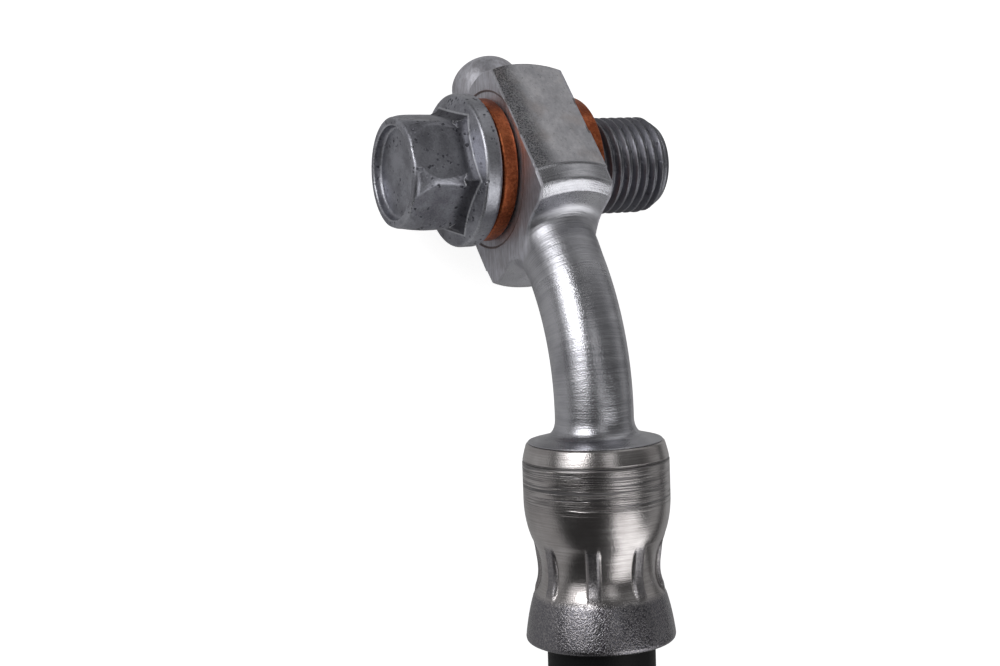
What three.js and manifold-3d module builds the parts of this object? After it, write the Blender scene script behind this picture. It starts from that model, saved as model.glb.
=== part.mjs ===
// A brake hose with a banjo bolt: millimetres, +Z up, lying on a surface as it comes to rest.
// The banjo end stands over the origin, the bolt runs along X with its head at -X, and the
// hose leaves towards -Y, turns once on the surface and comes back to its female end fitting.
import * as THREE from 'three';
import { mergeVertices } from 'three/addons/utils/BufferGeometryUtils.js';
import Module from 'manifold-3d';

const wasm = await Module();
wasm.setup();

// Clearances between pieces
const seatGap = 0.3;
const boreClearance = 0.3;

// Banjo bolt: hollow, hexagon head with a flange, M10 x 1
const threadRadius = 4.97;
const threadLength = 9.3;
const threadEndRadius = 4.1;
const threadEndChamfer = 1.3;
const waistRadius = 4.2;
const boltBoreRadius = 1.7;
const crossHoleRadius = 1.25;
const flangeRadius = 7.62;
const flangeThickness = 1.85;
const flangeCone = 0.5;
const flangeUndercut = 0.25;
const hexCornerRadius = 6.2;
const hexHeight = 6.1;
const hexTurn = THREE.MathUtils.degToRad(-21);
const hexChamfer = 1.0;
const headRimRadius = 5.45;
const headRecessRadius = 4.65;
const headRecessDepth = 0.55;

// Copper sealing washers
const washerRadius = 7.13;
const washerThickness = 1.6;
const washerEdge = 0.25;

// Eye block of the banjo fitting: a turned bar with two flat sides and milled top and bottom
const blockWidth = 7.92;
const blockHeight = 15.22;
const spotFaceRadius = 7.88;
const spotFaceDepth = 0.2;
const eyeGrooveRadius = 5.9;
const eyeGrooveWidth = 4;
const blockEndAt = 6.2;
const blockEndDepth = 2.2;
const blockEndInner = 5.2;
const stubRadius = 3.7;
const stubStraightTo = 11.0;
const stubDome = 3.2;
const collarAt = 7.1;
const collarRadius = 8.45;
const collarLength = 1.75;
const collarChamfer = 0.6;
const shoulderRadius = 7.2;
const neckFillet = 1.8;
const neckRadius = 3.9;

// Bent stem: straight out of the block, one bend, then straight into the crimp
const stemRadius = 3.8;
const stemAngle = THREE.MathUtils.degToRad(41.4);
const bendStartAt = 11.1;
const bendRadius = 23.4;
const stemStraight = 0.45;
const passageRadius = 1.25;
const crownFillet = 1.3;
const crownRadius = 6.5;
const crownThickness = 0.75;

// Crimped ferrule, the same at both ends
const ferruleTopRadius = 6.6;
const ferruleShoulder = 1.3;
const ferruleRadius = 7.09;
const ferruleLength = 19.35;
const ferruleWall = 1.4;
const crimpStart = 5.6;
const crimpWaistAt = 12.6;
const crimpWaistRadius = 5.77;
const crimpEnd = 15.6;
const crimpEndRadius = 6.6;
const skirtRadius = 7.26;
const rimRounding = 0.5;
const ribCount = 8;
const ribWidth = 1.1;
const ribHeight = 0.32;
const ribStart = 9.2;
const ribTurn = THREE.MathUtils.degToRad(-6);

// Nipple inside the hose, the same at both ends
const nippleRootRadius = 4.2;
const nippleRadius = 1.95;
const nippleLength = 16.5;
const tipGap = 1.5;

// Hose
const hoseRadius = 5.25;
const hoseCrimpedRadius = 4.35;
const hoseSides = 12;
const hoseSteps = 44;

// Female end fitting: hexagon, clip groove and port for a tube nut, M10 x 1
const endHexCornerRadius = 8.5;
const endHexLength = 9;
const endBodyRadius = 6.9;
const endBodyLength = 9.5;
const clipGrooveRadius = 5.9;
const clipGrooveWidth = 2.2;
const clipGrooveAt = 3.2;
const portRadius = 4.6;
const portDepth = 12.5;
const portSeatDepth = 1.4;
const endChamfer = 0.6;

// How the part lies: the stem slopes down from the eye to the hose
const restTilt = THREE.MathUtils.degToRad(12);

// Roundness
const fineSides = 32;
const stemSides = 20;
const smallSides = 12;
const passageSides = 8;
const stemSteps = 12;
const filletSteps = 3;

// Materials
const steel = new THREE.MeshStandardMaterial({ color: 0x8f9196, roughness: 0.38, metalness: 1 });
const darkSteel = new THREE.MeshStandardMaterial({ color: 0x5d5d62, roughness: 0.5, metalness: 1 });
const copper = new THREE.MeshStandardMaterial({ color: 0xa5512c, roughness: 0.4, metalness: 1 });
const rubber = new THREE.MeshStandardMaterial({ color: 0x0c0c0d, roughness: 0.6, metalness: 0 });

function toSolid(geometry) {
  const bare = geometry.index ? geometry.clone() : geometry;
  bare.deleteAttribute('normal');
  bare.deleteAttribute('uv');
  const merged = mergeVertices(bare, 1e-4);
  return new wasm.Manifold(new wasm.Mesh({
    numProp: 3,
    vertProperties: new Float32Array(merged.attributes.position.array),
    triVerts: new Uint32Array(merged.index.array),
  }));
}

function toGeometry(solid) {
  const mesh = solid.getMesh();
  const geometry = new THREE.BufferGeometry();
  geometry.setAttribute('position', new THREE.BufferAttribute(mesh.vertProperties, 3));
  geometry.setIndex(new THREE.BufferAttribute(mesh.triVerts, 1));
  const faceted = geometry.toNonIndexed();
  faceted.computeVertexNormals();
  return faceted;
}

function named(name, geometry, material) {
  const mesh = new THREE.Mesh(geometry, material);
  mesh.name = name;
  return mesh;
}

// A turned solid about Y from a Path of (radius, height) that starts and ends on the axis or closes on itself
function turned(path, sides = fineSides) {
  return new THREE.LatheGeometry(path.getPoints(filletSteps), sides);
}

function rod(radius, from, to, sides = fineSides) {
  return turned(new THREE.Path().moveTo(0, from).lineTo(radius, from).lineTo(radius, to).lineTo(0, to), sides);
}

function hexagon(cornerRadius) {
  const shape = new THREE.Shape();
  for (let corner = 0; corner < 6; corner += 1) {
    const angle = corner * Math.PI / 3;
    const point = [cornerRadius * Math.cos(angle), cornerRadius * Math.sin(angle)];
    if (corner === 0) shape.moveTo(...point);
    else shape.lineTo(...point);
  }
  shape.closePath();
  return shape;
}

// Turns what is modelled along Y so that it lies along the bolt, X
const alongBolt = (geometry) => geometry.rotateZ(-Math.PI / 2);

// Bolt stations along X, worked out from the block outwards
const blockFace = blockWidth / 2;
const spotFace = blockFace - spotFaceDepth;
const washerInnerFace = spotFace + seatGap;
const washerOuterFace = washerInnerFace + washerThickness;
const bearingFace = -(washerOuterFace + seatGap);
const flangeRidge = bearingFace - flangeThickness;
const hexBase = flangeRidge - flangeCone;
const headFace = hexBase - hexHeight;
const threadEnd = washerOuterFace + threadLength;
const washerBore = threadRadius + boreClearance;
const eyeRadius = threadRadius + boreClearance;

function banjoBolt() {
  const profile = new THREE.Path().moveTo(0, hexBase + 0.01)
    .lineTo(hexCornerRadius * Math.cos(Math.PI / 6), hexBase)
    .lineTo(flangeRadius - flangeCone / 2, flangeRidge)
    .lineTo(flangeRadius, flangeRidge + flangeCone / 2)
    .lineTo(flangeRadius, bearingFace - flangeUndercut)
    .lineTo(flangeRadius - flangeUndercut, bearingFace)
    .lineTo(threadRadius, bearingFace)
    .lineTo(threadRadius, -eyeGrooveWidth / 2 - 0.8)
    .lineTo(waistRadius, -eyeGrooveWidth / 2)
    .lineTo(waistRadius, eyeGrooveWidth / 2)
    .lineTo(threadRadius, eyeGrooveWidth / 2 + 0.8)
    .lineTo(threadRadius, threadEnd - threadEndChamfer)
    .lineTo(threadEndRadius, threadEnd)
    .lineTo(0, threadEnd);
  const shank = toSolid(alongBolt(turned(profile)));
  const prism = new THREE.ExtrudeGeometry(hexagon(hexCornerRadius), { depth: hexHeight + flangeCone, bevelEnabled: false });
  prism.rotateY(Math.PI / 2).rotateX(Math.PI / 2 + hexTurn).translate(headFace, 0, 0);
  const crown = new THREE.Path().moveTo(0, headFace).lineTo(headRimRadius, headFace)
    .lineTo(hexCornerRadius + 0.2, headFace + hexChamfer).lineTo(hexCornerRadius + 0.2, hexBase + flangeCone).lineTo(0, hexBase + flangeCone);
  const head = toSolid(prism).intersect(toSolid(alongBolt(turned(crown))));
  const recess = toSolid(alongBolt(rod(headRecessRadius, headFace - 1, headFace + headRecessDepth)));
  const bore = toSolid(alongBolt(rod(boltBoreRadius, -eyeGrooveWidth, threadEnd + 1, smallSides)));
  const crossHole = toSolid(rod(crossHoleRadius, -threadRadius - 1, threadRadius + 1, smallSides));
  return toGeometry(shank.add(head).subtract(recess).subtract(bore).subtract(crossHole));
}

function washer(innerFace, direction) {
  const profile = new THREE.Path().moveTo(washerBore, 0).lineTo(washerRadius - washerEdge, 0)
    .lineTo(washerRadius, washerEdge).lineTo(washerRadius, washerThickness - washerEdge)
    .lineTo(washerRadius - washerEdge, washerThickness).lineTo(washerBore, washerThickness).lineTo(washerBore, 0);
  const geometry = alongBolt(turned(profile));
  const start = direction > 0 ? innerFace : -innerFace - washerThickness;
  return geometry.translate(start, 0, 0);
}

// The stem's centre line in the frame of the banjo end: x along the bolt, y against the hose, z away from the eye
const bendStart = new THREE.Vector3(0, -bendStartAt * Math.cos(stemAngle), bendStartAt * Math.sin(stemAngle));
const bendEnd = new THREE.Vector3(0, bendStart.y - bendRadius * Math.sin(stemAngle),
  bendStart.z + bendRadius * (1 - Math.cos(stemAngle)));
const stemOffset = bendEnd.z;
const crownTop = -bendEnd.y + stemStraight;
const ferruleSeat = crownTop + crownFillet + crownThickness;

class StemLine extends THREE.Curve {
  constructor(start, end) {
    super();
    this.start = start;
    this.first = bendStartAt - start;
    this.bend = bendRadius * stemAngle;
    this.total = this.first + this.bend + end;
  }

  getPoint(t, target = new THREE.Vector3()) {
    const run = t * this.total;
    if (run < this.first) {
      return target.copy(bendStart).setLength(this.start + run);
    }
    if (run < this.first + this.bend) {
      const left = stemAngle - (run - this.first) / bendRadius;
      return target.set(0, bendEnd.y + bendRadius * Math.sin(left), bendEnd.z - bendRadius * (1 - Math.cos(left)));
    }
    return target.set(0, bendEnd.y - (run - this.first - this.bend), bendEnd.z);
  }
}

function circle(radius, sides) {
  const points = [];
  for (let side = 0; side < sides; side += 1) {
    const angle = (side + 0.5) * 2 * Math.PI / sides;
    points.push(new THREE.Vector2(radius * Math.cos(angle), radius * Math.sin(angle)));
  }
  return new THREE.Shape(points);
}

function swept(curve, radius, sides, steps) {
  return new THREE.ExtrudeGeometry(circle(radius, sides), { steps, extrudePath: curve, bevelEnabled: false });
}

// Turns what is modelled along +Y, measured from the eye, so that it lies along the block's bar
const alongBar = (geometry) => geometry.rotateX(Math.PI - stemAngle);

// Turns what is modelled along +Y so that it lies along the straight end of a stem
const alongStem = (geometry, offset) => geometry.rotateX(Math.PI).translate(0, 0, offset);

function eyeBlock() {
  const cornerRadius = Math.hypot(blockWidth, blockHeight) / 2 + 0.1;
  const profile = new THREE.Path().moveTo(0, -stubStraightTo - stubDome);
  profile.bezierCurveTo(stubRadius * 0.6, -stubStraightTo - stubDome, stubRadius, -stubStraightTo - stubDome * 0.5,
    stubRadius, -stubStraightTo);
  profile.lineTo(stubRadius, -blockEndAt - blockEndDepth - 0.3).lineTo(blockEndInner, -blockEndAt - blockEndDepth);
  profile.quadraticCurveTo(blockEndInner + 2.2, -blockEndAt - blockEndDepth * 0.65, cornerRadius, -blockEndAt);
  profile.lineTo(cornerRadius, collarAt - 0.2).lineTo(collarRadius, collarAt);
  profile.lineTo(collarRadius, collarAt + collarLength).lineTo(shoulderRadius, collarAt + collarLength + collarChamfer);
  const shoulder = collarAt + collarLength + collarChamfer;
  profile.lineTo(neckRadius + neckFillet, shoulder);
  profile.quadraticCurveTo(neckRadius, shoulder, neckRadius, shoulder + neckFillet);
  profile.lineTo(neckRadius, bendStartAt + 1).lineTo(0, bendStartAt + 1);
  const bar = toSolid(alongBar(turned(profile)));
  const reach = 4 * blockHeight;
  const slab = toSolid(new THREE.BoxGeometry(blockWidth, reach, reach));
  let block = bar.intersect(slab);
  for (const side of [-1, 1]) {
    const flat = new THREE.BoxGeometry(reach, reach, blockHeight);
    flat.translate(0, collarAt - 0.3 - reach / 2, side * blockHeight);
    block = block.subtract(toSolid(alongBar(flat)));
  }
  return block;
}

function crownAndNipple(offset, seat) {
  const top = seat - crownThickness - crownFillet;
  const profile = new THREE.Path().moveTo(0, top - 0.5).lineTo(stemRadius, top - 0.5).lineTo(stemRadius, top);
  profile.quadraticCurveTo(stemRadius, top + crownFillet * 0.8, stemRadius + crownFillet, top + crownFillet);
  profile.lineTo(crownRadius, seat - 0.2).lineTo(crownRadius, seat).lineTo(nippleRootRadius, seat);
  const rootEnd = seat + seatGap + ferruleWall + seatGap;
  profile.lineTo(nippleRootRadius, rootEnd).lineTo(nippleRadius, rootEnd);
  const nippleEnd = seat + nippleLength;
  profile.lineTo(nippleRadius, nippleEnd - 0.4).lineTo(nippleRadius - 0.3, nippleEnd).lineTo(0, nippleEnd);
  return toSolid(alongStem(turned(profile), offset));
}

function banjoFitting() {
  const stem = toSolid(swept(new StemLine(bendStartAt - 1, stemStraight + 0.2), stemRadius, stemSides, stemSteps));
  const eye = toSolid(alongBolt(rod(eyeRadius, -blockWidth, blockWidth)));
  const groove = toSolid(alongBolt(rod(eyeGrooveRadius, -eyeGrooveWidth / 2, eyeGrooveWidth / 2)));
  const passageLine = new StemLine(eyeRadius - 0.6, stemStraight + crownFillet + nippleLength + 3);
  const passage = toSolid(swept(passageLine, passageRadius, passageSides, stemSteps));
  let body = eyeBlock().add(stem).add(crownAndNipple(stemOffset, ferruleSeat)).subtract(eye).subtract(groove).subtract(passage);
  for (const side of [-1, 1]) {
    const spot = alongBolt(rod(spotFaceRadius, 0, 1));
    spot.translate(side > 0 ? spotFace : -spotFace - 1, 0, 0);
    body = body.subtract(toSolid(spot));
  }
  return toGeometry(body);
}

// Outline of the ferrule from its top to its mouth, as (radius, distance from the seat)
function ferruleOutline(raise = 0) {
  const outline = new THREE.Path().moveTo(ferruleTopRadius, seatGap);
  outline.quadraticCurveTo(ferruleRadius - 0.1, seatGap + 0.3, ferruleRadius + raise, seatGap + ferruleShoulder);
  outline.lineTo(ferruleRadius + raise, crimpStart);
  outline.bezierCurveTo(ferruleRadius + raise, (crimpStart + crimpWaistAt) / 2, crimpWaistRadius + raise,
    crimpWaistAt - 2.6, crimpWaistRadius + raise, crimpWaistAt);
  outline.quadraticCurveTo(crimpWaistRadius + raise, crimpWaistAt + 1.4, crimpEndRadius + raise / 2, crimpEnd);
  outline.lineTo(skirtRadius, ferruleLength - rimRounding);
  outline.lineTo(skirtRadius - rimRounding, ferruleLength);
  return outline;
}

function ferrule(offset, seat) {
  const wall = hoseRadius + boreClearance;
  const crimped = hoseCrimpedRadius + boreClearance;
  const profile = ferruleOutline();
  profile.lineTo(wall, ferruleLength).lineTo(wall, crimpEnd).lineTo(crimped, crimpWaistAt + 1)
    .lineTo(crimped, crimpWaistAt - 1).lineTo(wall, crimpStart).lineTo(wall, seatGap + ferruleWall)
    .lineTo(nippleRootRadius + boreClearance, seatGap + ferruleWall)
    .lineTo(nippleRootRadius + boreClearance, seatGap).lineTo(ferruleTopRadius, seatGap);
  let body = toSolid(turned(profile));
  const raised = ferruleOutline(ribHeight).getPoints(filletSteps)
    .filter((point) => point.y > ribStart && point.y < crimpEnd + 0.01);
  const ribOutline = [new THREE.Vector2(crimpWaistRadius - 0.4, crimpEnd), new THREE.Vector2(crimpWaistRadius - 0.4, ribStart)];
  const ribShape = new THREE.Shape([...ribOutline, ...raised]);
  for (let rib = 0; rib < ribCount; rib += 1) {
    const blade = new THREE.ExtrudeGeometry(ribShape, { depth: ribWidth, bevelEnabled: false });
    blade.translate(0, 0, -ribWidth / 2).rotateY(-Math.PI / 2 + ribTurn + rib * 2 * Math.PI / ribCount);
    body = body.add(toSolid(blade));
  }
  const geometry = toGeometry(body);
  return alongStem(geometry.translate(0, seat, 0), offset);
}

// The end of the hose that the ferrule holds: turned down at the crimp, hollow for the nipple
function hoseInsert(offset, seat) {
  const start = 2 * seatGap + ferruleWall + seatGap;
  const pocket = nippleRadius + boreClearance;
  const profile = new THREE.Path().moveTo(pocket, start).lineTo(hoseRadius - 0.1, start).lineTo(hoseRadius - 0.1, crimpStart)
    .lineTo(hoseCrimpedRadius, crimpWaistAt - 1).lineTo(hoseCrimpedRadius, crimpWaistAt + 1)
    .lineTo(hoseRadius - 0.1, crimpEnd).lineTo(hoseRadius - 0.1, ferruleLength).lineTo(0, ferruleLength)
    .lineTo(0, nippleLength + seatGap).lineTo(pocket, nippleLength + seatGap).lineTo(pocket, start);
  return alongStem(turned(profile, hoseSides * 2).translate(0, seat, 0), offset);
}

function endFitting() {
  const hexEnd = endHexLength;
  const faceAt = hexEnd + endBodyLength;
  const flats = endHexCornerRadius * Math.cos(Math.PI / 6);
  const body = new THREE.Path().moveTo(0, 0).lineTo(flats - 0.4, 0).lineTo(flats - 0.4, hexEnd).lineTo(endBodyRadius, hexEnd)
    .lineTo(endBodyRadius, hexEnd + clipGrooveAt).lineTo(clipGrooveRadius, hexEnd + clipGrooveAt)
    .lineTo(clipGrooveRadius, hexEnd + clipGrooveAt + clipGrooveWidth)
    .lineTo(endBodyRadius, hexEnd + clipGrooveAt + clipGrooveWidth).lineTo(endBodyRadius, faceAt - endChamfer)
    .lineTo(endBodyRadius - endChamfer, faceAt).lineTo(0, faceAt);
  const prism = new THREE.ExtrudeGeometry(hexagon(endHexCornerRadius), { depth: endHexLength, bevelEnabled: false });
  prism.rotateX(-Math.PI / 2);
  const crown = new THREE.Path().moveTo(0, 0).lineTo(flats, 0).lineTo(endHexCornerRadius + 0.1, 0.7)
    .lineTo(endHexCornerRadius + 0.1, hexEnd - 0.7).lineTo(flats, hexEnd).lineTo(0, hexEnd);
  const hexBody = toSolid(prism).intersect(toSolid(turned(crown)));
  const port = new THREE.Path().moveTo(0, faceAt - portDepth - portSeatDepth).lineTo(portRadius, faceAt - portDepth)
    .lineTo(portRadius, faceAt - endChamfer).lineTo(portRadius + endChamfer, faceAt)
    .lineTo(portRadius + endChamfer, faceAt + 1).lineTo(0, faceAt + 1);
  const bore = rod(passageRadius, -nippleLength - 8, faceAt - portDepth, smallSides);
  const nipple = crownAndNipple(0, 0).translate([0, -crownThickness - crownFillet, 0]);
  const blank = toSolid(turned(body)).add(hexBody).add(nipple);
  return toGeometry(blank.subtract(toSolid(turned(port))).subtract(toSolid(bore)));
}

// Banjo end
const banjoEnd = new THREE.Group();
banjoEnd.rotation.x = restTilt;
banjoEnd.add(named('banjo_bolt', banjoBolt(), darkSteel));
banjoEnd.add(named('head_washer', washer(washerInnerFace, -1), copper));
banjoEnd.add(named('seat_washer', washer(washerInnerFace, 1), copper));
banjoEnd.add(named('banjo_fitting', banjoFitting(), steel));
banjoEnd.add(named('banjo_ferrule', ferrule(stemOffset, ferruleSeat), steel));

// The banjo end touches the surface at z = 0 and is centred over the origin
banjoEnd.updateMatrixWorld(true);
const reach = new THREE.Box3().setFromObject(banjoEnd, true);
banjoEnd.position.set(-(reach.min.x + reach.max.x) / 2, -(reach.min.y + reach.max.y) / 2, -reach.min.z);
banjoEnd.updateMatrixWorld(true);

// Route of the hose: first straight out of the ferrule, then these points on the surface,
// chosen by hand and measured in X and Y from the middle of the ferrule's mouth
const mouth = new THREE.Vector3(0, -(ferruleSeat + ferruleLength), stemOffset).applyMatrix4(banjoEnd.matrixWorld);
const inside = new THREE.Vector3(0, -(ferruleSeat + nippleLength + tipGap), stemOffset).applyMatrix4(banjoEnd.matrixWorld);
const outward = mouth.clone().sub(inside).normalize();
const floorHeight = hoseRadius + 0.05;
const endHeight = endHexCornerRadius * Math.cos(Math.PI / 6) + 0.02;
const lead = 14;
const laidPoints = [
  [0.2, -30, 2.6], [0.6, -46, 0.8], [1.2, -62, 0.1], [3.6, -80, 0], [9.5, -97, 0], [19.5, -112, 0],
  [33, -124, 0], [49, -131, 0], [66, -132.5, 0], [83, -128, 0], [97.5, -118, 0], [108, -104, 0],
  [114, -88, 0], [116.2, -71, 0], [116.8, -55, 0.3], [117, -39, 1.5],
];
const endMouth = [117, -24];
const route = [inside, mouth, mouth.clone().addScaledVector(outward, lead)];
for (const [x, y, lift] of laidPoints) {
  route.push(new THREE.Vector3(mouth.x + x, mouth.y + y, floorHeight + lift));
}
route.push(new THREE.Vector3(mouth.x + endMouth[0], mouth.y + endMouth[1], endHeight));
route.push(new THREE.Vector3(mouth.x + endMouth[0], mouth.y + endMouth[1] + ferruleLength - nippleLength - tipGap, endHeight));
const hoseLine = new THREE.CatmullRomCurve3(route, false, 'centripetal');

// Female end: its own frame has +Y along the fitting, away from the hose
const femaleEnd = new THREE.Group();
femaleEnd.position.set(mouth.x + endMouth[0], mouth.y + endMouth[1] + ferruleLength, endHeight);
femaleEnd.add(named('end_ferrule', ferrule(0, 0), steel));
femaleEnd.add(named('end_fitting', endFitting().translate(0, crownThickness + crownFillet, 0), steel));
femaleEnd.updateMatrixWorld(true);

function hose() {
  const tube = toSolid(swept(hoseLine, hoseRadius, hoseSides, hoseSteps));
  const bolted = toSolid(hoseInsert(stemOffset, ferruleSeat).applyMatrix4(banjoEnd.matrixWorld));
  const far = toSolid(hoseInsert(0, 0).applyMatrix4(femaleEnd.matrixWorld));
  return toGeometry(tube.add(bolted).add(far));
}

const brakeHose = new THREE.Group();
brakeHose.add(banjoEnd, femaleEnd, named('hose', hose(), rubber));

export default brakeHose;
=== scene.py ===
"""Looks of a brake hose with a banjo bolt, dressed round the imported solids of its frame."""

import logging
import math
from dataclasses import dataclass, field
from enum import Enum
from typing import Callable, Sequence

import bmesh
import bpy
from mathutils import Matrix, Vector


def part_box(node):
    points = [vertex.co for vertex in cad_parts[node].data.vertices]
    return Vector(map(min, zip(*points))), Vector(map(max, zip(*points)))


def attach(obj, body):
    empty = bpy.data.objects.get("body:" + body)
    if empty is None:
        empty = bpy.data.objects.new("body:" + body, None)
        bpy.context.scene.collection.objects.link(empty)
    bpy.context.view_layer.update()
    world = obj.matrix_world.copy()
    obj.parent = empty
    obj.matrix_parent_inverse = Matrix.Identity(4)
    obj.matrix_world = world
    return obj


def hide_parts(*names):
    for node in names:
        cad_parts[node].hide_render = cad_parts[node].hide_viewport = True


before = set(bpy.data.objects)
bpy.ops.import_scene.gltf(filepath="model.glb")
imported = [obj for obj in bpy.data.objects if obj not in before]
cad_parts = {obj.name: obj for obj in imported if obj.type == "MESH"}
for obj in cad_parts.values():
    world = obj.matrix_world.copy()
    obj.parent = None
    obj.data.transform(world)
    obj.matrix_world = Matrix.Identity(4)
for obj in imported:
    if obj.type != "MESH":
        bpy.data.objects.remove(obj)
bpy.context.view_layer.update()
LOG = logging.getLogger("brake_hose")
MM = 0.001
WHOLE_TURN = math.tau
SIXTH_TURN = math.pi / 3
REST_TILT = math.radians(12)
SLACK = 0.01
NEARLY_NONE = 1e-6


class Body(Enum):
    """Bodies that a piece can ride on."""

    ROOT = "root"


class Slot(Enum):
    """Material slots of the record."""

    DARK_STEEL = "dark_steel"
    COPPER = "copper"
    BRIGHT_STEEL = "bright_steel"
    FERRULE_STEEL = "ferrule_steel"
    HOSE_RUBBER = "hose_rubber"


class Value:
    """A shader socket that takes part in Python expressions, each operator adding a Math node."""

    def __init__(self, tree: bpy.types.NodeTree, socket: bpy.types.NodeSocket) -> None:
        """Wraps a socket.

        Args:
            tree: node tree that the socket belongs to.
            socket: output socket.
        """
        self.tree = tree
        self.socket = socket

    def _math(self, operation: str, *others: "Value | float", swap: bool = False) -> "Value":
        """Adds a Math node.

        Args:
            operation: the node's operation.
            others: further operands.
            swap: puts this value second.

        Returns:
            The node's output.
        """
        node = self.tree.nodes.new("ShaderNodeMath")
        node.operation = operation
        operands = [self, *others]
        if swap:
            operands.reverse()
        for place, operand in enumerate(operands):
            if isinstance(operand, Value):
                self.tree.links.new(operand.socket, node.inputs[place])
            else:
                node.inputs[place].default_value = operand
        return Value(self.tree, node.outputs[0])

    def __add__(self, other: "Value | float") -> "Value":
        """Sum."""
        return self._math("ADD", other)

    __radd__ = __add__

    def __sub__(self, other: "Value | float") -> "Value":
        """Difference."""
        return self._math("SUBTRACT", other)

    def __rsub__(self, other: float) -> "Value":
        """Reflected difference."""
        return self._math("SUBTRACT", other, swap=True)

    def __mul__(self, other: "Value | float") -> "Value":
        """Product."""
        return self._math("MULTIPLY", other)

    __rmul__ = __mul__

    def least(self, other: "Value | float") -> "Value":
        """The smaller of two values."""
        return self._math("MINIMUM", other)

    def most(self, other: "Value | float") -> "Value":
        """The larger of two values."""
        return self._math("MAXIMUM", other)

    def size(self) -> "Value":
        """The value without its sign."""
        return self._math("ABSOLUTE")

    def sine(self) -> "Value":
        """Sine of the value."""
        return self._math("SINE")

    def turn(self, other: "Value") -> "Value":
        """Angle of a point with this value and another as its legs, in radians."""
        return self._math("ARCTAN2", other)

    def step(self, low: float, high: float) -> "Value":
        """A smooth step.

        Args:
            low: value at which the step is 0.
            high: value at which the step is 1; it may be the lower one.

        Returns:
            The step.
        """
        node = self.tree.nodes.new("ShaderNodeMapRange")
        node.interpolation_type = "SMOOTHSTEP"
        rising = high > low
        node.inputs["From Min"].default_value = low if rising else high
        node.inputs["From Max"].default_value = high if rising else low
        node.inputs["To Min"].default_value = 0.0 if rising else 1.0
        node.inputs["To Max"].default_value = 1.0 if rising else 0.0
        self.tree.links.new(self.socket, node.inputs["Value"])
        return Value(self.tree, node.outputs["Result"])


class Shader:
    """A node tree with one method for every kind of node."""

    def __init__(self, tree: bpy.types.NodeTree) -> None:
        """Empties the tree.

        Args:
            tree: the tree to work in.
        """
        self.tree = tree
        tree.nodes.clear()

    def node(self, kind: str, settings: dict | None = None, **inputs) -> bpy.types.Node:
        """Adds a node.

        Args:
            kind: the node's type.
            settings: properties that are set first.
            inputs: values or links by socket name, with _ for a space.

        Returns:
            The node.
        """
        node = self.tree.nodes.new(kind)
        for name, value in (settings or {}).items():
            setattr(node, name, value)
        for name, value in inputs.items():
            socket = node.inputs[name.replace("_", " ")]
            if isinstance(value, Value):
                self.tree.links.new(value.socket, socket)
            elif isinstance(value, bpy.types.NodeSocket):
                self.tree.links.new(value, socket)
            else:
                socket.default_value = value
        return node

    def value(self, kind: str, output: str, settings: dict | None = None, **inputs) -> Value:
        """Adds a node and wraps one of its outputs."""
        return Value(self.tree, self.node(kind, settings, **inputs).outputs[output])

    def noise(self, place: bpy.types.NodeSocket, scale: float, detail: float, rough: float) -> Value:
        """Noise at a place, from 0 to 1."""
        return self.value("ShaderNodeTexNoise", "Fac", Vector=place, Scale=scale, Detail=detail,
                          Roughness=rough)

    def blend(self, share: Value | float, low: Sequence[float] | Value,
              high: Sequence[float] | Value) -> Value:
        """Mixes two colours.

        Args:
            share: share of the second colour.
            low: first colour.
            high: second colour.

        Returns:
            The mixed colour.
        """
        node = self.tree.nodes.new("ShaderNodeMix")
        node.data_type = "RGBA"
        for place, item in ((0, share), (6, low), (7, high)):
            if isinstance(item, Value):
                self.tree.links.new(item.socket, node.inputs[place])
            elif place:
                node.inputs[place].default_value = (*item[:3], 1.0)
            else:
                node.inputs[place].default_value = item
        return Value(self.tree, node.outputs[2])

    def local(self, seat: "Seat") -> tuple[bpy.types.NodeSocket, Value, Value, Value]:
        """Object coordinates in a seat's own frame.

        Args:
            seat: where the piece lies.

        Returns:
            The place in millimetres, and its three coordinates.
        """
        coordinates = self.node("ShaderNodeTexCoord").outputs["Object"]
        moved = self.node("ShaderNodeMapping", Vector=coordinates, Location=-seat.origin)
        turned = self.node("ShaderNodeMapping", Vector=moved.outputs[0], Rotation=(-seat.tilt, 0.0, 0.0),
                           Scale=(1 / MM, 1 / MM, 1 / MM))
        split = self.node("ShaderNodeSeparateXYZ", Vector=turned.outputs[0])
        x, y, z = (Value(self.tree, socket) for socket in split.outputs)
        return turned.outputs[0], x, y, z

    def stretched(self, place: bpy.types.NodeSocket, scale: Sequence[float]) -> bpy.types.NodeSocket:
        """A place with each of its coordinates scaled."""
        return self.node("ShaderNodeMapping", Vector=place, Scale=scale).outputs[0]


@dataclass(frozen=True)
class Seat:
    """A frame of its own for pieces that are modelled in millimetres.

    Attributes:
        origin: where its origin lies, in metres.
        tilt: turn about X, in radians.
    """

    origin: Vector
    tilt: float = 0.0

    def matrix(self) -> Matrix:
        """Matrix from the seat's millimetres to the row frame's metres."""
        return Matrix.Translation(self.origin) @ Matrix.Rotation(self.tilt, 4, "X") @ Matrix.Scale(MM, 4)


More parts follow.
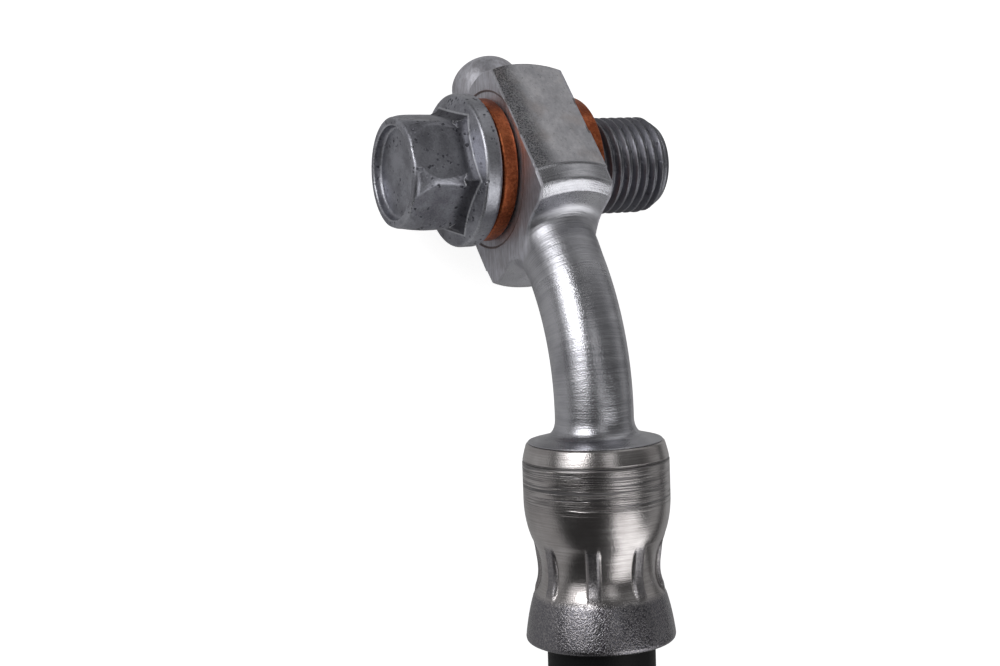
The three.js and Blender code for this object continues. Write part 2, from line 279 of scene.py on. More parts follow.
class Outline:
    """A turned outline, walked as (radius, distance along the axis) points."""

    def __init__(self, radius: float, along: float, step: float) -> None:
        """Starts the outline.

        Args:
            radius: radius of its first point.
            along: place of its first point.
            step: longest distance between points.
        """
        self.points = [(radius, along)]
        self.step = step

    def line(self, radius: float, along: float, step: float | None = None) -> "Outline":
        """Walks straight to a point."""
        last_radius, last_along = self.points[-1]
        return self.curve((last_radius + radius) / 2, (last_along + along) / 2, radius, along, step)

    def curve(self, via_radius: float, via_along: float, radius: float, along: float,
              step: float | None = None) -> "Outline":
        """Walks along a quadratic curve.

        Args:
            via_radius: radius of its control point.
            via_along: place of its control point.
            radius: radius of its end.
            along: place of its end.
            step: longest distance between points.

        Returns:
            The outline itself.
        """
        start = Vector(self.points[-1])
        via, end = Vector((via_radius, via_along)), Vector((radius, along))
        span = (via - start).length + (end - via).length
        count = max(1, math.ceil(span / (step or self.step)))
        for index in range(1, count + 1):
            share = index / count
            point = start.lerp(via, share).lerp(via.lerp(end, share), share)
            self.points.append((point.x, point.y))
        return self


class Maker:
    """Operators that turn outlines into finished pieces."""

    @staticmethod
    def turned(outline: Outline, steps: int) -> bmesh.types.BMesh:
        """Spins an outline about Y.

        Args:
            outline: outline that closes on the axis or on itself.
            steps: faces round the axis.

        Returns:
            The turned body.
        """
        mesh = bmesh.new()
        chain = [mesh.verts.new((radius, along, 0.0)) for radius, along in outline.points]
        links = [mesh.edges.new(pair) for pair in zip(chain, chain[1:])]
        bmesh.ops.spin(mesh, geom=chain + links, cent=(0, 0, 0), axis=(0, 1, 0), angle=WHOLE_TURN,
                       steps=steps, use_merge=True)
        bmesh.ops.remove_doubles(mesh, verts=mesh.verts, dist=1e-4)
        bmesh.ops.recalc_face_normals(mesh, faces=mesh.faces)
        return mesh

    @staticmethod
    def along_bolt(mesh: bmesh.types.BMesh) -> bmesh.types.BMesh:
        """Turns a body that lies along Y to lie along X.

        Args:
            mesh: the body.

        Returns:
            The same body.
        """
        quarter = Matrix.Rotation(-math.pi / 2, 3, "Z")
        bmesh.ops.rotate(mesh, cent=(0, 0, 0), matrix=quarter, verts=mesh.verts)
        return mesh

    @staticmethod
    def move(mesh: bmesh.types.BMesh, change: Callable[[Vector], Vector]) -> None:
        """Moves every vertex by a formula."""
        for vertex in mesh.verts:
            vertex.co = change(vertex.co.copy())

    @staticmethod
    def link(name: str, mesh: bmesh.types.BMesh, seat: Seat, crease: float = 32.0) -> bpy.types.Object:
        """Makes an object of a body, with its place in its mesh.

        Args:
            name: the object's name.
            mesh: the body, in the seat's millimetres.
            seat: where it lies.
            crease: angle in degrees past which an edge is drawn sharp.

        Returns:
            The object.
        """
        bmesh.ops.transform(mesh, matrix=seat.matrix(), verts=mesh.verts)
        bmesh.ops.recalc_face_normals(mesh, faces=mesh.faces)
        data = bpy.data.meshes.new(name)
        mesh.to_mesh(data)
        mesh.free()
        for face in data.polygons:
            face.use_smooth = True
        data.set_sharp_from_angle(angle=math.radians(crease))
        piece = bpy.data.objects.new(name, data)
        bpy.context.scene.collection.objects.link(piece)
        return piece

    @staticmethod
    def carve(piece: bpy.types.Object, cutter: bpy.types.Object, crease: float = 32.0) -> None:
        """Cuts one body out of a piece and removes the cutter.

        Args:
            piece: what is cut.
            cutter: body that is cut away.
            crease: angle in degrees past which an edge is drawn sharp.
        """
        cut = piece.modifiers.new("cut", "BOOLEAN")
        cut.operation = "DIFFERENCE"
        cut.solver = "EXACT"
        cut.object = cutter
        graph = bpy.context.evaluated_depsgraph_get()
        data = bpy.data.meshes.new_from_object(piece.evaluated_get(graph))
        piece.modifiers.clear()
        piece.data = data
        for face in data.polygons:
            face.use_smooth = True
        data.set_sharp_from_angle(angle=math.radians(crease))
        bpy.data.objects.remove(cutter)

    @staticmethod
    def dress(piece: bpy.types.Object, material: bpy.types.Material, slot: Slot, *nodes: str) -> None:
        """Gives a piece its finish, its body and the solids it stands for.

        Args:
            piece: the piece.
            material: its finish.
            slot: slot of the record it takes its finish from; not used.
            nodes: solids it replaces.
        """
        piece.data.materials.clear()
        piece.data.materials.append(material)
        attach(piece, Body.ROOT.value)
        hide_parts(*nodes)
        LOG.info("%s: %d faces", piece.name, len(getattr(piece.data, "polygons", ())))


def soft_least(first: float, second: float, blend: float) -> float:
    """The smaller of two lengths, with the crease between them rounded.

    Args:
        first: one length.
        second: the other.
        blend: width of the rounding.

    Returns:
        The rounded smaller length.
    """
    share = max(0.0, min(1.0, 0.5 + 0.5 * (second - first) / blend))
    return second + (first - second) * share - blend * share * (1.0 - share)


def smooth(share: float) -> float:
    """A smooth step over a share, which is first kept between 0 and 1."""
    share = max(0.0, min(1.0, share))
    return share * share * (3 - 2 * share)


def reach_out(place: Vector, axes: str, radius: float, target: float) -> Vector:
    """Moves a point to another distance from its axis.

    Args:
        place: the point.
        axes: names of its two coordinates square to the axis.
        radius: its distance from the axis.
        target: its new distance.

    Returns:
        The point.
    """
    for axis in axes:
        setattr(place, axis, getattr(place, axis) * (target / radius))
    return place


@dataclass(frozen=True)
class Sizes:
    """Sizes in millimetres that several pieces share; the frame's solids have the same ones."""

    seat_gap: float = 0.3
    clearance: float = 0.3
    block_width: float = 7.92
    block_height: float = 15.22
    spot_radius: float = 7.88
    spot_depth: float = 0.2
    washer_thickness: float = 1.6
    thread_radius: float = 4.97
    stem_radius: float = 3.8
    stem_angle: float = math.radians(41.4)
    bend_start: float = 11.1
    bend_radius: float = 23.4
    stem_straight: float = 0.45
    crown_fillet: float = 1.3
    crown_thickness: float = 0.75
    crown_radius: float = 6.5
    nipple_root: float = 4.2
    nipple_radius: float = 1.95
    nipple_length: float = 16.5
    ferrule_wall: float = 1.4

    @property
    def washer_inner(self) -> float:
        """Distance from the middle of the eye to a washer's inner face."""
        return self.block_width / 2 - self.spot_depth + self.seat_gap

    @property
    def washer_outer(self) -> float:
        """Distance from the middle of the eye to a washer's outer face."""
        return self.washer_inner + self.washer_thickness

    @property
    def bend_length(self) -> float:
        """Length of the bend along its middle."""
        return self.bend_radius * self.stem_angle

    @property
    def root_length(self) -> float:
        """Length of the nipple's thick root, from the ferrule's seat."""
        return self.seat_gap + self.ferrule_wall + self.seat_gap

    @property
    def stem_offset(self) -> float:
        """How far the straight end of the stem lies from the eye, square to the bolt."""
        rise = self.bend_start * math.sin(self.stem_angle)
        return rise + self.bend_radius * (1 - math.cos(self.stem_angle))

    @property
    def bend_end(self) -> float:
        """Where the bend ends, along the straight end of the stem."""
        return self.bend_start * math.cos(self.stem_angle) + self.bend_radius * math.sin(self.stem_angle)

    @property
    def ferrule_seat(self) -> float:
        """Where the ferrule is seated, along the straight end of the stem."""
        return self.bend_end + self.stem_straight + self.crown_fillet + self.crown_thickness


SIZES = Sizes()


@dataclass(frozen=True)
class Finish:
    """What the finishes share: a named material with one Principled surface.

    Attributes:
        name: name of the material.
        bevel: radius that its edges are rounded by, in metres.
    """

    name: str = "finish"
    bevel: float = 0.00018

    def begin(self) -> tuple[bpy.types.Material, Shader]:
        """Starts a material.

        Returns:
            The material and its nodes.
        """
        material = bpy.data.materials.new(self.name)
        material.use_nodes = True
        return material, Shader(material.node_tree)

    def edges(self, shader: Shader, faint: float = 0.004, full: float = 0.09) -> Value:
        """Share of an edge at a point.

        Args:
            shader: the material's nodes.
            faint: turn of the surface, as one less its cosine, where the edge starts to show.
            full: turn where it shows fully.

        Returns:
            0 on a flat to 1 on a crest or in a corner.
        """
        rounded = shader.node("ShaderNodeBevel", {"samples": 4}, Radius=self.bevel)
        plain = shader.node("ShaderNodeNewGeometry").outputs["Normal"]
        turn = shader.node("ShaderNodeVectorMath", {"operation": "DOT_PRODUCT"})
        shader.tree.links.new(rounded.outputs[0], turn.inputs[0])
        shader.tree.links.new(plain, turn.inputs[1])
        return (1 - Value(shader.tree, turn.outputs["Value"])).step(faint, full)

    def finish(self, shader: Shader, colour: Value, rough: Value | float, height: Value, depth: float,
               metallic: float = 1.0, strength: float = 0.6, specular: float = 0.5) -> None:
        """Closes the material.

        Args:
            shader: the material's nodes.
            colour: base colour.
            rough: roughness.
            height: bump, in shares of the depth.
            depth: depth of the bump in millimetres.
            metallic: 1 for bare metal.
            strength: strength of the bump.
            specular: level of the reflection on what isn't metal.
        """
        rounded = shader.node("ShaderNodeBevel", {"samples": 4}, Radius=self.bevel)
        bump = shader.node("ShaderNodeBump", Strength=strength, Distance=depth * MM, Height=height,
                           Normal=rounded.outputs[0])
        surface = shader.node("ShaderNodeBsdfPrincipled", Base_Color=colour, Metallic=metallic,
                              Roughness=rough, Specular_IOR_Level=specular, Normal=bump.outputs[0])
        output = shader.node("ShaderNodeOutputMaterial")
        shader.tree.links.new(surface.outputs[0], output.inputs["Surface"])


@dataclass(frozen=True)
class DarkPlate(Finish):
    """Dull dark plating, grainy and pitted, with edges lightened by wear, and painted highlight and painted
    shade at the hexagon's foot.
    """

    name: str = "dark_plate"
    light: Sequence[float] = (0.42, 0.425, 0.47)
    dark: Sequence[float] = (0.23, 0.23, 0.26)
    pit_and_shade: Sequence[float] = (0.035, 0.035, 0.045)
    worn_and_highlight: Sequence[float] = (0.75, 0.76, 0.8)
    thread: Sequence[float] = (0.13, 0.13, 0.15)

    @staticmethod
    def over_flats(y: Value, z: Value, hex_turn: float) -> Value:
        """Distance from the bolt's axis, measured square to the nearest flat of the hexagon.

        Args:
            y: distance up from the axis.
            z: distance towards the camera.
            hex_turn: turn of the hexagon about the axis.

        Returns:
            The distance, which is the same all along a flat.
        """
        angles = [hex_turn + (side + 0.5) * SIXTH_TURN for side in range(3)]
        first, second, third = ((y * math.cos(angle) + z * math.sin(angle)).size() for angle in angles)
        return first.most(second).most(third)

    def material(self, seat: Seat, thread_from: float, foot_at: float, foot_reach: float,
                 hex_turn: float) -> bpy.types.Material:
        """Builds the material.

        Args:
            seat: seat of the piece.
            thread_from: where along X the thread starts, in millimetres.
            foot_at: where the hexagon meets the flange.
            foot_reach: distance from the bolt's axis to the end of the hexagon's fillet, over a flat.
            hex_turn: turn of the hexagon about the bolt's axis.

        Returns:
            The material.
        """
        material, shader = self.begin()
        place, x, y, z = shader.local(seat)
        over = self.over_flats(y, z, hex_turn)
        # line: a thin painted highlight where the hexagon's fillet ends on the flange.
        line = over.step(foot_reach - 0.12, foot_reach) * over.step(foot_reach + 0.16, foot_reach + 0.06)
        line = line * x.step(foot_at - 0.5, foot_at - 0.1) * x.step(foot_at + 0.47, foot_at + 0.4)
        # foot: painted shade in the concave fillet at the hexagon's foot, which also gets more pits.
        foot = x.step(foot_at - 1.6, foot_at - 0.6) * over.step(foot_reach + 0.02, foot_reach - 0.1)
        foot = foot * x.step(foot_at + 0.5, foot_at + 0.4)
        rim = x.step(foot_at + 0.45, foot_at + 0.75) * x.step(foot_at + 3.5, foot_at + 3.0)
        threaded = x.step(thread_from - 0.2, thread_from + 0.2)
        blotch = shader.noise(place, 0.45, 4.0, 0.6)
        grain = shader.noise(place, 5.5, 2.0, 0.6)
        patch = (shader.noise(place, 0.5, 2.0, 0.5) + foot * 0.12).step(0.45, 0.6)
        dots = shader.value("ShaderNodeTexVoronoi", "Distance", Vector=place, Scale=1.9)
        pits = (dots + shader.noise(place, 2.2, 3.0, 0.7) * 1.1).step(0.92, 0.68) * patch
        edge = self.edges(shader, 0.0015, 0.02) * (1 - threaded * 0.6)
        tone = shader.blend((blotch * 0.8 + grain * 0.4).step(0.42, 0.78), self.dark, self.light)
        tone = shader.blend(rim * (0.1 + grain * 0.2), tone, self.worn_and_highlight)
        # Pits, and the painted shade in the fillet at the foot, darken the tone.
        tone = shader.blend((pits * 0.8 + foot * 0.75).least(0.85), tone, self.pit_and_shade)
        tone = shader.blend(threaded * 0.85, tone, self.thread)
        # Edges and corners, and the line at the foot, are painted lighter: wear on the edges, painted
        # highlight in the corners and on the line.
        colour = shader.blend((edge.most(line * 0.6) * (0.35 + grain * 0.9)).least(1.0), tone, self.worn_and_highlight)
        rough = 0.34 + grain * 0.12 + pits * 0.2 + foot * 0.12 - edge * 0.12 - rim * 0.04
        self.finish(shader, colour, rough, grain * 0.5 + blotch - pits * 0.7, depth=0.1, strength=0.5)
        return material


@dataclass(frozen=True)
class Skin:
    """How one side of a piece looks, before its edges are worn.

    Attributes:
        tone: colour.
        rough: roughness.
        height: bump, in shares of its depth.
    """

    tone: Value
    rough: Value
    height: Value

    def under(self, shader: Shader, share: Value, over: "Skin") -> "Skin":
        """Lays another skin over this one.

        Args:
            shader: the material's nodes.
            share: share of the other skin.
            over: the other skin.

        Returns:
            The two together.
        """
        return Skin(shader.blend(share, self.tone, over.tone), self.rough * (1 - share) + over.rough * share,
                    self.height * (1 - share) + over.height * share)


@dataclass(frozen=True)
class TurnedPlate(Finish):
    """Bright plating over turned steel, with fine rings round the piece.

    Attributes:
        neck_from: where along the piece the coarser rings of its neck start.
        neck_to: where they have faded out.
    """

    name: str = "end_plate"
    light: Sequence[float] = (0.6, 0.6, 0.635)
    dark: Sequence[float] = (0.4, 0.4, 0.43)
    # Dark tone for turning marks, nicks and a speckled band on the block, also used as painted shade in the
    # ferrule's grooves and crease.
    groove: Sequence[float] = (0.1, 0.1, 0.11)
    rough: float = 0.17
    neck_from: float = 9.2
    neck_to: float = 17.0

    def rings(self, shader: Shader, place: bpy.types.NodeSocket, run: Value, pitch: float, detail: float,
              around: float = 0.22) -> Value:
        """Streaks that run round the piece.

        Args:
            shader: the material's nodes.
            place: place in the seat's frame.
            run: distance along the piece.
            pitch: how many streaks there are to about a millimetre.
            detail: detail of the noise.
            around: how fast a streak changes on its way round.

        Returns:
            The streaks, from 0 to 1.
        """
        split = shader.node("ShaderNodeSeparateXYZ", Vector=place)
        across, over = (Value(shader.tree, split.outputs[axis]) * around for axis in (0, 2))
        streak = shader.node("ShaderNodeCombineXYZ", X=across, Y=run * pitch, Z=over)
        return shader.noise(streak.outputs[0], 1.0, detail, 0.6)

    def turned(self, shader: Shader, place: bpy.types.NodeSocket, run: Value, grain: Value) -> Skin:
        """Look of the turned sides.

        Args:
            shader: the material's nodes.
            place: place in the seat's frame.
            run: distance along the piece.
            grain: fine grain.

        Returns:
            The skin.
        """
        fine = self.rings(shader, place, run, pitch=7.0, detail=3.0)
        coarse = self.rings(shader, place, run, pitch=1.3, detail=2.0)
        cloud = shader.noise(place, 0.3, 3.0, 0.5)
        tone = shader.blend((cloud * 0.5 + coarse * 0.3 + fine * 0.3).step(0.4, 0.68), self.dark, self.light)
        neck = run.step(self.neck_from, self.neck_from + 0.6) * run.step(self.neck_to, self.neck_to - 5.0)
        height = fine * (0.6 + neck * 1.4) + coarse * 0.12 + grain * 0.75
        return Skin(tone, self.rough + fine * 0.08 + grain * 0.06 + neck * 0.1, height)

    def skin(self, shader: Shader, place: bpy.types.NodeSocket, x: Value, y: Value, z: Value) -> Skin:
        """Look of the whole piece, at a place and its three coordinates."""
        return self.turned(shader, place, y, shader.noise(place, 6.5, 2.0, 0.65))

    def material(self, seat: Seat) -> bpy.types.Material:
        """Builds the material.

        Args:
            seat: seat of the piece.

        Returns:
            The material.
        """
        material, shader = self.begin()
        skin = self.skin(shader, *shader.local(seat))
        # Edges and corners are painted lighter: a painted highlight.
        colour = shader.blend(self.edges(shader) * 0.6, skin.tone, self.light)
        self.finish(shader, colour, skin.rough, skin.height, depth=0.055)
        return material


@dataclass(frozen=True)
class BlockPlate(TurnedPlate):
    """The same plating on the banjo fitting, with brushed, speckled flats on its block and painted shade
    round its spot faces.
    """

    name: str = "bright_plate"
    flat: Sequence[float] = (0.68, 0.67, 0.695)
    stain: Sequence[float] = (0.4, 0.33, 0.3)
    side_dark: Sequence[float] = (0.44, 0.43, 0.46)
    side_light: Sequence[float] = (0.7, 0.7, 0.76)
    # Colour of the painted shade round the spot face.
    ring_shade: Sequence[float] = (0.13, 0.09, 0.08)
    block_to: float = 6.9
    side_to: float = 12.0
    stub_from: float = -8.0

    @staticmethod
    def run(y: Value, z: Value) -> tuple[Value, Value]:
        """Distance along the bent bar, and along its straight first stretch.

        Args:
            y: distance up from the eye.
            z: distance from the eye towards the camera.

        Returns:
            Both distances.
        """
        angle, radius = SIZES.stem_angle, SIZES.bend_radius
        bar = z * math.sin(angle) - y * math.cos(angle)
        left = (y + SIZES.bend_end).turn(z - (SIZES.stem_offset - radius))
        turned = (angle - left.least(angle).most(0.0)) * radius
        beyond = (-SIZES.bend_end - y).most(0.0)
        return turned + beyond + bar.least(SIZES.bend_start), bar

    def skin(self, shader: Shader, place: bpy.types.NodeSocket, x: Value, y: Value, z: Value) -> Skin:
        """Look of the turned bar and, over it, of the block's flat sides.

        Args:
            shader: the material's nodes.
            place: place in the seat's frame.
            x: distance along the bolt.
            y: distance up from the eye.
            z: distance from the eye towards the camera.

        Returns:
            The skin.
        """
        run, bar = self.run(y, z)
        grain = shader.noise(place, 6.5, 2.0, 0.65)
        across = y * math.sin(SIZES.stem_angle) + z * math.cos(SIZES.stem_angle)
        half = SIZES.block_height / 2
        milled = across.size().step(half - 0.06, half - 0.02) * bar.step(self.block_to, self.block_to - 0.1)
        face = SIZES.block_width / 2
        side = x.size().step(face - 0.3, face - 0.2) * bar.step(self.side_to, self.side_to - 1.0)
        stub = bar.step(self.stub_from, self.stub_from - 0.3)
        brushed = shader.noise(shader.stretched(place, (3.0, 0.5, 3.0)), 1.0, 4.0, 0.65)
        cloud = shader.noise(place, 0.42, 4.0, 0.6)
        speckle = shader.noise(place, 6.5, 2.0, 0.7).step(0.4, 0.62)
        near = x.step(-0.7, -2.9) * milled
        nicks = shader.noise(place, 3.4, 3.0, 0.7).step(0.6, 0.68) * milled
        stain = shader.noise(place, 0.28, 3.0, 0.6).step(0.5, 0.7)
        tone = shader.blend((cloud * 0.6 + brushed * 0.4).step(0.3, 0.72), self.dark, self.flat)
        tone = shader.blend(stain * 0.35, tone, self.stain)
        tone = shader.blend((near * (0.35 + speckle * 0.6)).most(nicks * 0.45), tone, self.groove)
        sides = shader.blend((brushed * 0.7 + cloud * 0.4).step(0.35, 0.75), self.side_dark, self.side_light)
        tone = shader.blend(side.most(stub), tone, sides)
        # Painted shade: a thin dark band at the spot face's edge.
        tone = shader.blend(side * self.spot_ring_shade(y, z) * 0.75, tone, self.ring_shade)
        rough = 0.34 + side * 0.08 + grain * 0.12
        height = brushed * 0.8 + grain * 0.6 + near * speckle * 0.8
        turned = self.turned(shader, place, run, grain)
        return turned.under(shader, milled.most(side).most(stub), Skin(tone, rough, height))

    @staticmethod
    def spot_ring_shade(y: Value, z: Value) -> Value:
        """Share of the painted shade in a thin band round the spot face.

        Args:
            y: distance up from the eye.
            z: distance from the eye towards the camera.

        Returns:
            0 off the ring to 1 on it.
        """
        reach = y * y + z * z
        inner, outer = SIZES.spot_radius - 0.18, SIZES.spot_radius + 0.12
        return reach.step(inner ** 2, inner ** 2 + 1.5) * reach.step(outer ** 2, outer ** 2 - 1.0)


@dataclass(frozen=True)
class FerrulePlate(TurnedPlate):
    """Plating on the ferrule: dark turning marks above the crimp with painted shade in its grooves and
    crease, grainy ribs and a grainy skirt.

    Attributes:
        ferrule: the ferrule that wears it.
    """

    ferrule: "Ferrule | None" = None
    name: str = "ferrule_plate"
    light: Sequence[float] = (0.6, 0.575, 0.57)
    dark: Sequence[float] = (0.39, 0.365, 0.36)
    skirt: Sequence[float] = (0.17, 0.167, 0.19)
    rough: float = 0.15

    def material(self, seat: Seat) -> bpy.types.Material:
        """Builds the material.

        Args:
            seat: seat of the ferrule.

        Returns:
            The material.
        """
        material, shader = self.begin()
        place, x, y, z = shader.local(seat)
        worn_by = self.ferrule
        crease_at = worn_by.crease_at
        crimp_from, crimp_to = worn_by.crimp_start - 0.3, worn_by.crimp_end - 0.1
        run = y * -1.0 - worn_by.seat_at
        fine = self.rings(shader, place, run, pitch=9.0, detail=2.0)
        coarse = self.rings(shader, place, run, pitch=5.0, detail=1.0, around=0.07)
        grain = shader.noise(place, 7.5, 2.0, 0.65)
        cloud = shader.noise(place, 0.3, 3.0, 0.5)
        above = run.step(crimp_from + 1.4, crimp_from) * run.step(crease_at - 0.2, crease_at)
        # The crease and the coarse turning grooves get painted shade as well as a dip in the bump.
        crease = run.step(crease_at - 0.12, crease_at - 0.02) * run.step(crease_at + 0.3, crease_at + 0.1)
        cuts = (coarse.step(0.58, 0.63) * above * 0.8).most(crease * 0.85)
        around = x.turn(z - worn_by.offset) - worn_by.rib_turn
        rib = (around * worn_by.jaws + math.pi / 2).sine().step(0.55, 0.75)
        rib = rib * run.step(9.2, 10.0) * run.step(crimp_to + 0.2, crimp_to - 1.0)
        speck = shader.noise(place, 5.5, 2.0, 0.6).step(0.4, 0.62)
        below = (run + grain * 0.8).step(crimp_to - 0.1, crimp_to + 0.7).most(rib * 0.75)
        tone = shader.blend((cloud * 0.6 + fine * 0.4).step(0.34, 0.68), self.dark, self.light)
        tone = shader.blend(above * fine.step(0.55, 0.35) * 0.6, tone, self.groove)
        tone = shader.blend(below * (0.95 - speck * 0.4), tone, self.skirt)
        # Painted shade in the grooves and the crease.
        tone = shader.blend(cuts * 0.75, tone, self.groove)
        # Edges and corners are painted lighter: a painted highlight.
        colour = shader.blend(self.edges(shader) * 0.5, tone, self.light)
        height = fine * (0.2 + above * 0.4) - cuts * 1.1 + grain * 0.4 + below * speck * 0.4
        rough = self.rough + grain * 0.06 + cuts * 0.2 + rib * 0.12
        self.finish(shader, colour, rough, height, depth=0.06)
        return material


@dataclass(frozen=True)
class Copper(Finish):
    """Satin copper that has darkened in places."""

    name: str = "copper"
    fresh: Sequence[float] = (0.66, 0.2, 0.085)
    aged: Sequence[float] = (0.3, 0.075, 0.03)

    def material(self, seat: Seat) -> bpy.types.Material:
        """Builds the material.

        Args:
            seat: seat of the piece.

        Returns:
            The material.
        """
        material, shader = self.begin()
        place, *_ = shader.local(seat)
        cloud = shader.noise(place, 0.5, 4.0, 0.6)
        grain = shader.noise(place, 4.0, 3.0, 0.65)
        colour = shader.blend((cloud * 0.7 + grain * 0.4).step(0.4, 0.75), self.aged, self.fresh)
        self.finish(shader, colour, 0.32 + grain * 0.14, grain + cloud, depth=0.07)
        return material


@dataclass(frozen=True)
class Rubber(Finish):
    """Smooth black extruded rubber."""

    name: str = "hose_rubber"
    light: Sequence[float] = (0.004, 0.004, 0.005)
    dark: Sequence[float] = (0.001, 0.001, 0.0015)

    def material(self, seat: Seat) -> bpy.types.Material:
        """Builds the material.

        Args:
            seat: seat of the hose.

        Returns:
            The material.
        """
        material, shader = self.begin()
        place, *_ = shader.local(seat)
        cloud = shader.noise(place, 0.3, 4.0, 0.6)
        grain = shader.noise(place, 4.0, 3.0, 0.6)
        colour = shader.blend(cloud, self.dark, self.light)
        self.finish(shader, colour, 0.46 + grain * 0.15, grain, depth=0.05, metallic=0.0, strength=0.3,
                    specular=0.2)
        return material


@dataclass
class BanjoBolt:
    """Hollow bolt with a hexagon flange head, along X in the seat of the banjo end.

    Attributes:
        corner_loss: how much of the hexagon's corners is rounded away.
        corner_draft: how much more of them is gone at the flange.
        crown_share: share of the head's height over which its corners are chamfered round.
        crown_start: height of the rounding between the head's face and its sides.
        recess_fillet: fillet at the foot of the recess in the head.
        flange_rounding: rounding of the flange's edges.
        thread_start: plain stretch of the shank beyond the block's face.
        crest_share: share of the pitch that the thread's crest takes.
    """

    flange_radius: float = 7.62
    flange_thickness: float = 1.85
    flange_cone: float = 0.5
    flange_rounding: float = 0.35
    hex_corner: float = 6.2
    hex_height: float = 6.1
    hex_turn: float = math.radians(-21)
    hex_fillet: float = 0.55
    fillet_slope: float = 0.35
    corner_loss: float = 0.16
    corner_draft: float = 0.2
    corner_blend: float = 0.05
    crown_share: float = 0.45
    crown_start: float = 0.5
    wall_rows: int = 45
    rim_radius: float = 5.5
    recess_radius: float = 4.65
    recess_depth: float = 0.8
    recess_fillet: float = 0.35
    thread_length: float = 9.3
    thread_start: float = 0.4
    thread_pitch: float = 1.0
    thread_depth: float = 0.56
    thread_fade: float = 0.8
    thread_chamfer: float = 1.3
    thread_end_radius: float = 4.2
    thread_inner: float = 3.9
    crest_share: float = 0.12
    bore_radius: float = 1.7
    bore_mouth: float = 0.3
    bore_end: float = -4.0
    bore_tip: float = 0.6
    steps: int = 300

    @property
    def bearing(self) -> float:
        """Where the flange bears on its washer."""
        return -(SIZES.washer_outer + SIZES.seat_gap)

    @property
    def ridge(self) -> float:
        """Where the flange's cone ends at its rim."""
        return self.bearing - self.flange_thickness

    @property
    def base(self) -> float:
        """Where the hexagon meets the flange."""
        return self.ridge - self.flange_cone

    @property
    def face(self) -> float:
        """Where the head's face lies."""
        return self.base - self.hex_height

    @property
    def apothem(self) -> float:
        """Distance from the axis to the hexagon's flats."""
        return self.hex_corner * math.cos(SIXTH_TURN / 2)

    def _corner_limit(self, share: float) -> float:
        """Radius that limits the hexagon's corners.

        Args:
            share: share of the height of the head's sides, from its face.

        Returns:
            The radius.
        """
        widest = self.hex_corner - self.corner_loss
        if share < self.crown_share:
            rise = math.sin(share / self.crown_share * math.pi / 2)
            return self.rim_radius + (widest - self.rim_radius) * rise
        return widest - self.corner_draft * ((share - self.crown_share) / (1 - self.crown_share)) ** 2

    def _fillet(self, reach: float) -> float:
        """Height of the hexagon's fillet over the flange.

        Args:
            reach: distance from the flat.

        Returns:
            The height.
        """
        left = max(0.0, self.hex_fillet - max(0.0, reach))
        round_part = self.hex_fillet - math.sqrt(self.hex_fillet ** 2 - left ** 2)
        return round_part + left * self.fillet_slope + max(0.0, -reach)

    def _outline(self) -> Outline:
        """Outline from the recessed head to the bore, with the thread's crests.

        Returns:
            The outline.
        """
        face, ridge, bearing, recess = self.face, self.ridge, self.bearing, self.recess_radius
        floor, end = face + self.recess_depth, SIZES.washer_outer + self.thread_length
        outline = Outline(0.0, floor, step=0.6).line(recess - self.recess_fillet, floor)
        outline.curve(recess - 0.05, floor, recess, face + 0.12, step=0.1)
        outline.curve(recess, face, recess + 0.15, face, step=0.06)
        outline.line(self.rim_radius - 0.45, face, step=0.15)
        outline.curve(self.rim_radius, face, self.rim_radius + 0.02, face + self.crown_start, step=0.08)
        wall = self.hex_height - self.crown_start
        for row in range(1, self.wall_rows + 1):
            share = row / self.wall_rows
            outline.points.append((self._corner_limit(share), face + self.crown_start + share * wall))
        outline.line(self.flange_radius - self.flange_rounding, ridge, step=0.07)
        outline.curve(self.flange_radius, ridge + 0.05, self.flange_radius, ridge + 0.4, step=0.08)
        outline.line(self.flange_radius, bearing - 0.45, step=0.3)
        outline.curve(self.flange_radius, bearing, self.flange_radius - 0.4, bearing, step=0.08)
        outline.line(SIZES.thread_radius, bearing, step=0.5)
        outline.line(SIZES.thread_radius, SIZES.block_width / 2, step=0.8)
        outline.line(SIZES.thread_radius, end - self.thread_chamfer, step=0.07)
        outline.line(self.thread_end_radius, end - 0.1, step=0.07)
        outline.line(self.thread_end_radius - 0.2, end, step=0.1)
        outline.line(self.bore_radius + self.bore_mouth, end, step=0.4)
        outline.line(self.bore_radius, end - self.bore_mouth, step=0.2)
        outline.line(self.bore_radius, self.bore_end, step=2.0)
        outline.line(0.0, self.bore_end - self.bore_tip, step=1.0)
        return outline

    def _hexagon(self, place: Vector, radius: float, angle: float) -> float:
        """Presses a point of the head to the hexagon, or to the fillet at its foot.

        Args:
            place: the point, which moves along the bolt with the fillet.
            radius: its distance from the axis.
            angle: its angle round the axis.

        Returns:
            Its new distance from the axis.
        """
        around = (angle - self.hex_turn) % SIXTH_TURN - SIXTH_TURN / 2
        flat = self.apothem / math.cos(around)
        foot, rim = self._corner_limit(1.0), self.flange_radius - self.flange_rounding
        inner = soft_least(foot, flat, self.corner_blend)
        if place.x <= self.base + NEARLY_NONE:
            wall = self.hex_height - self.crown_start
            drop = self._fillet(inner * math.cos(around) - self.apothem)
            place.x -= max(0.0, (place.x - self.face - self.crown_start) / wall) * drop
            return soft_least(radius, flat, self.corner_blend)
        target = inner + (radius - foot) / (rim - foot) * (rim - inner)
        place.x = self.base + self.flange_cone * max(0.0, (target - foot) / (rim - foot))
        place.x -= self._fillet(target * math.cos(around) - self.apothem)
        return target

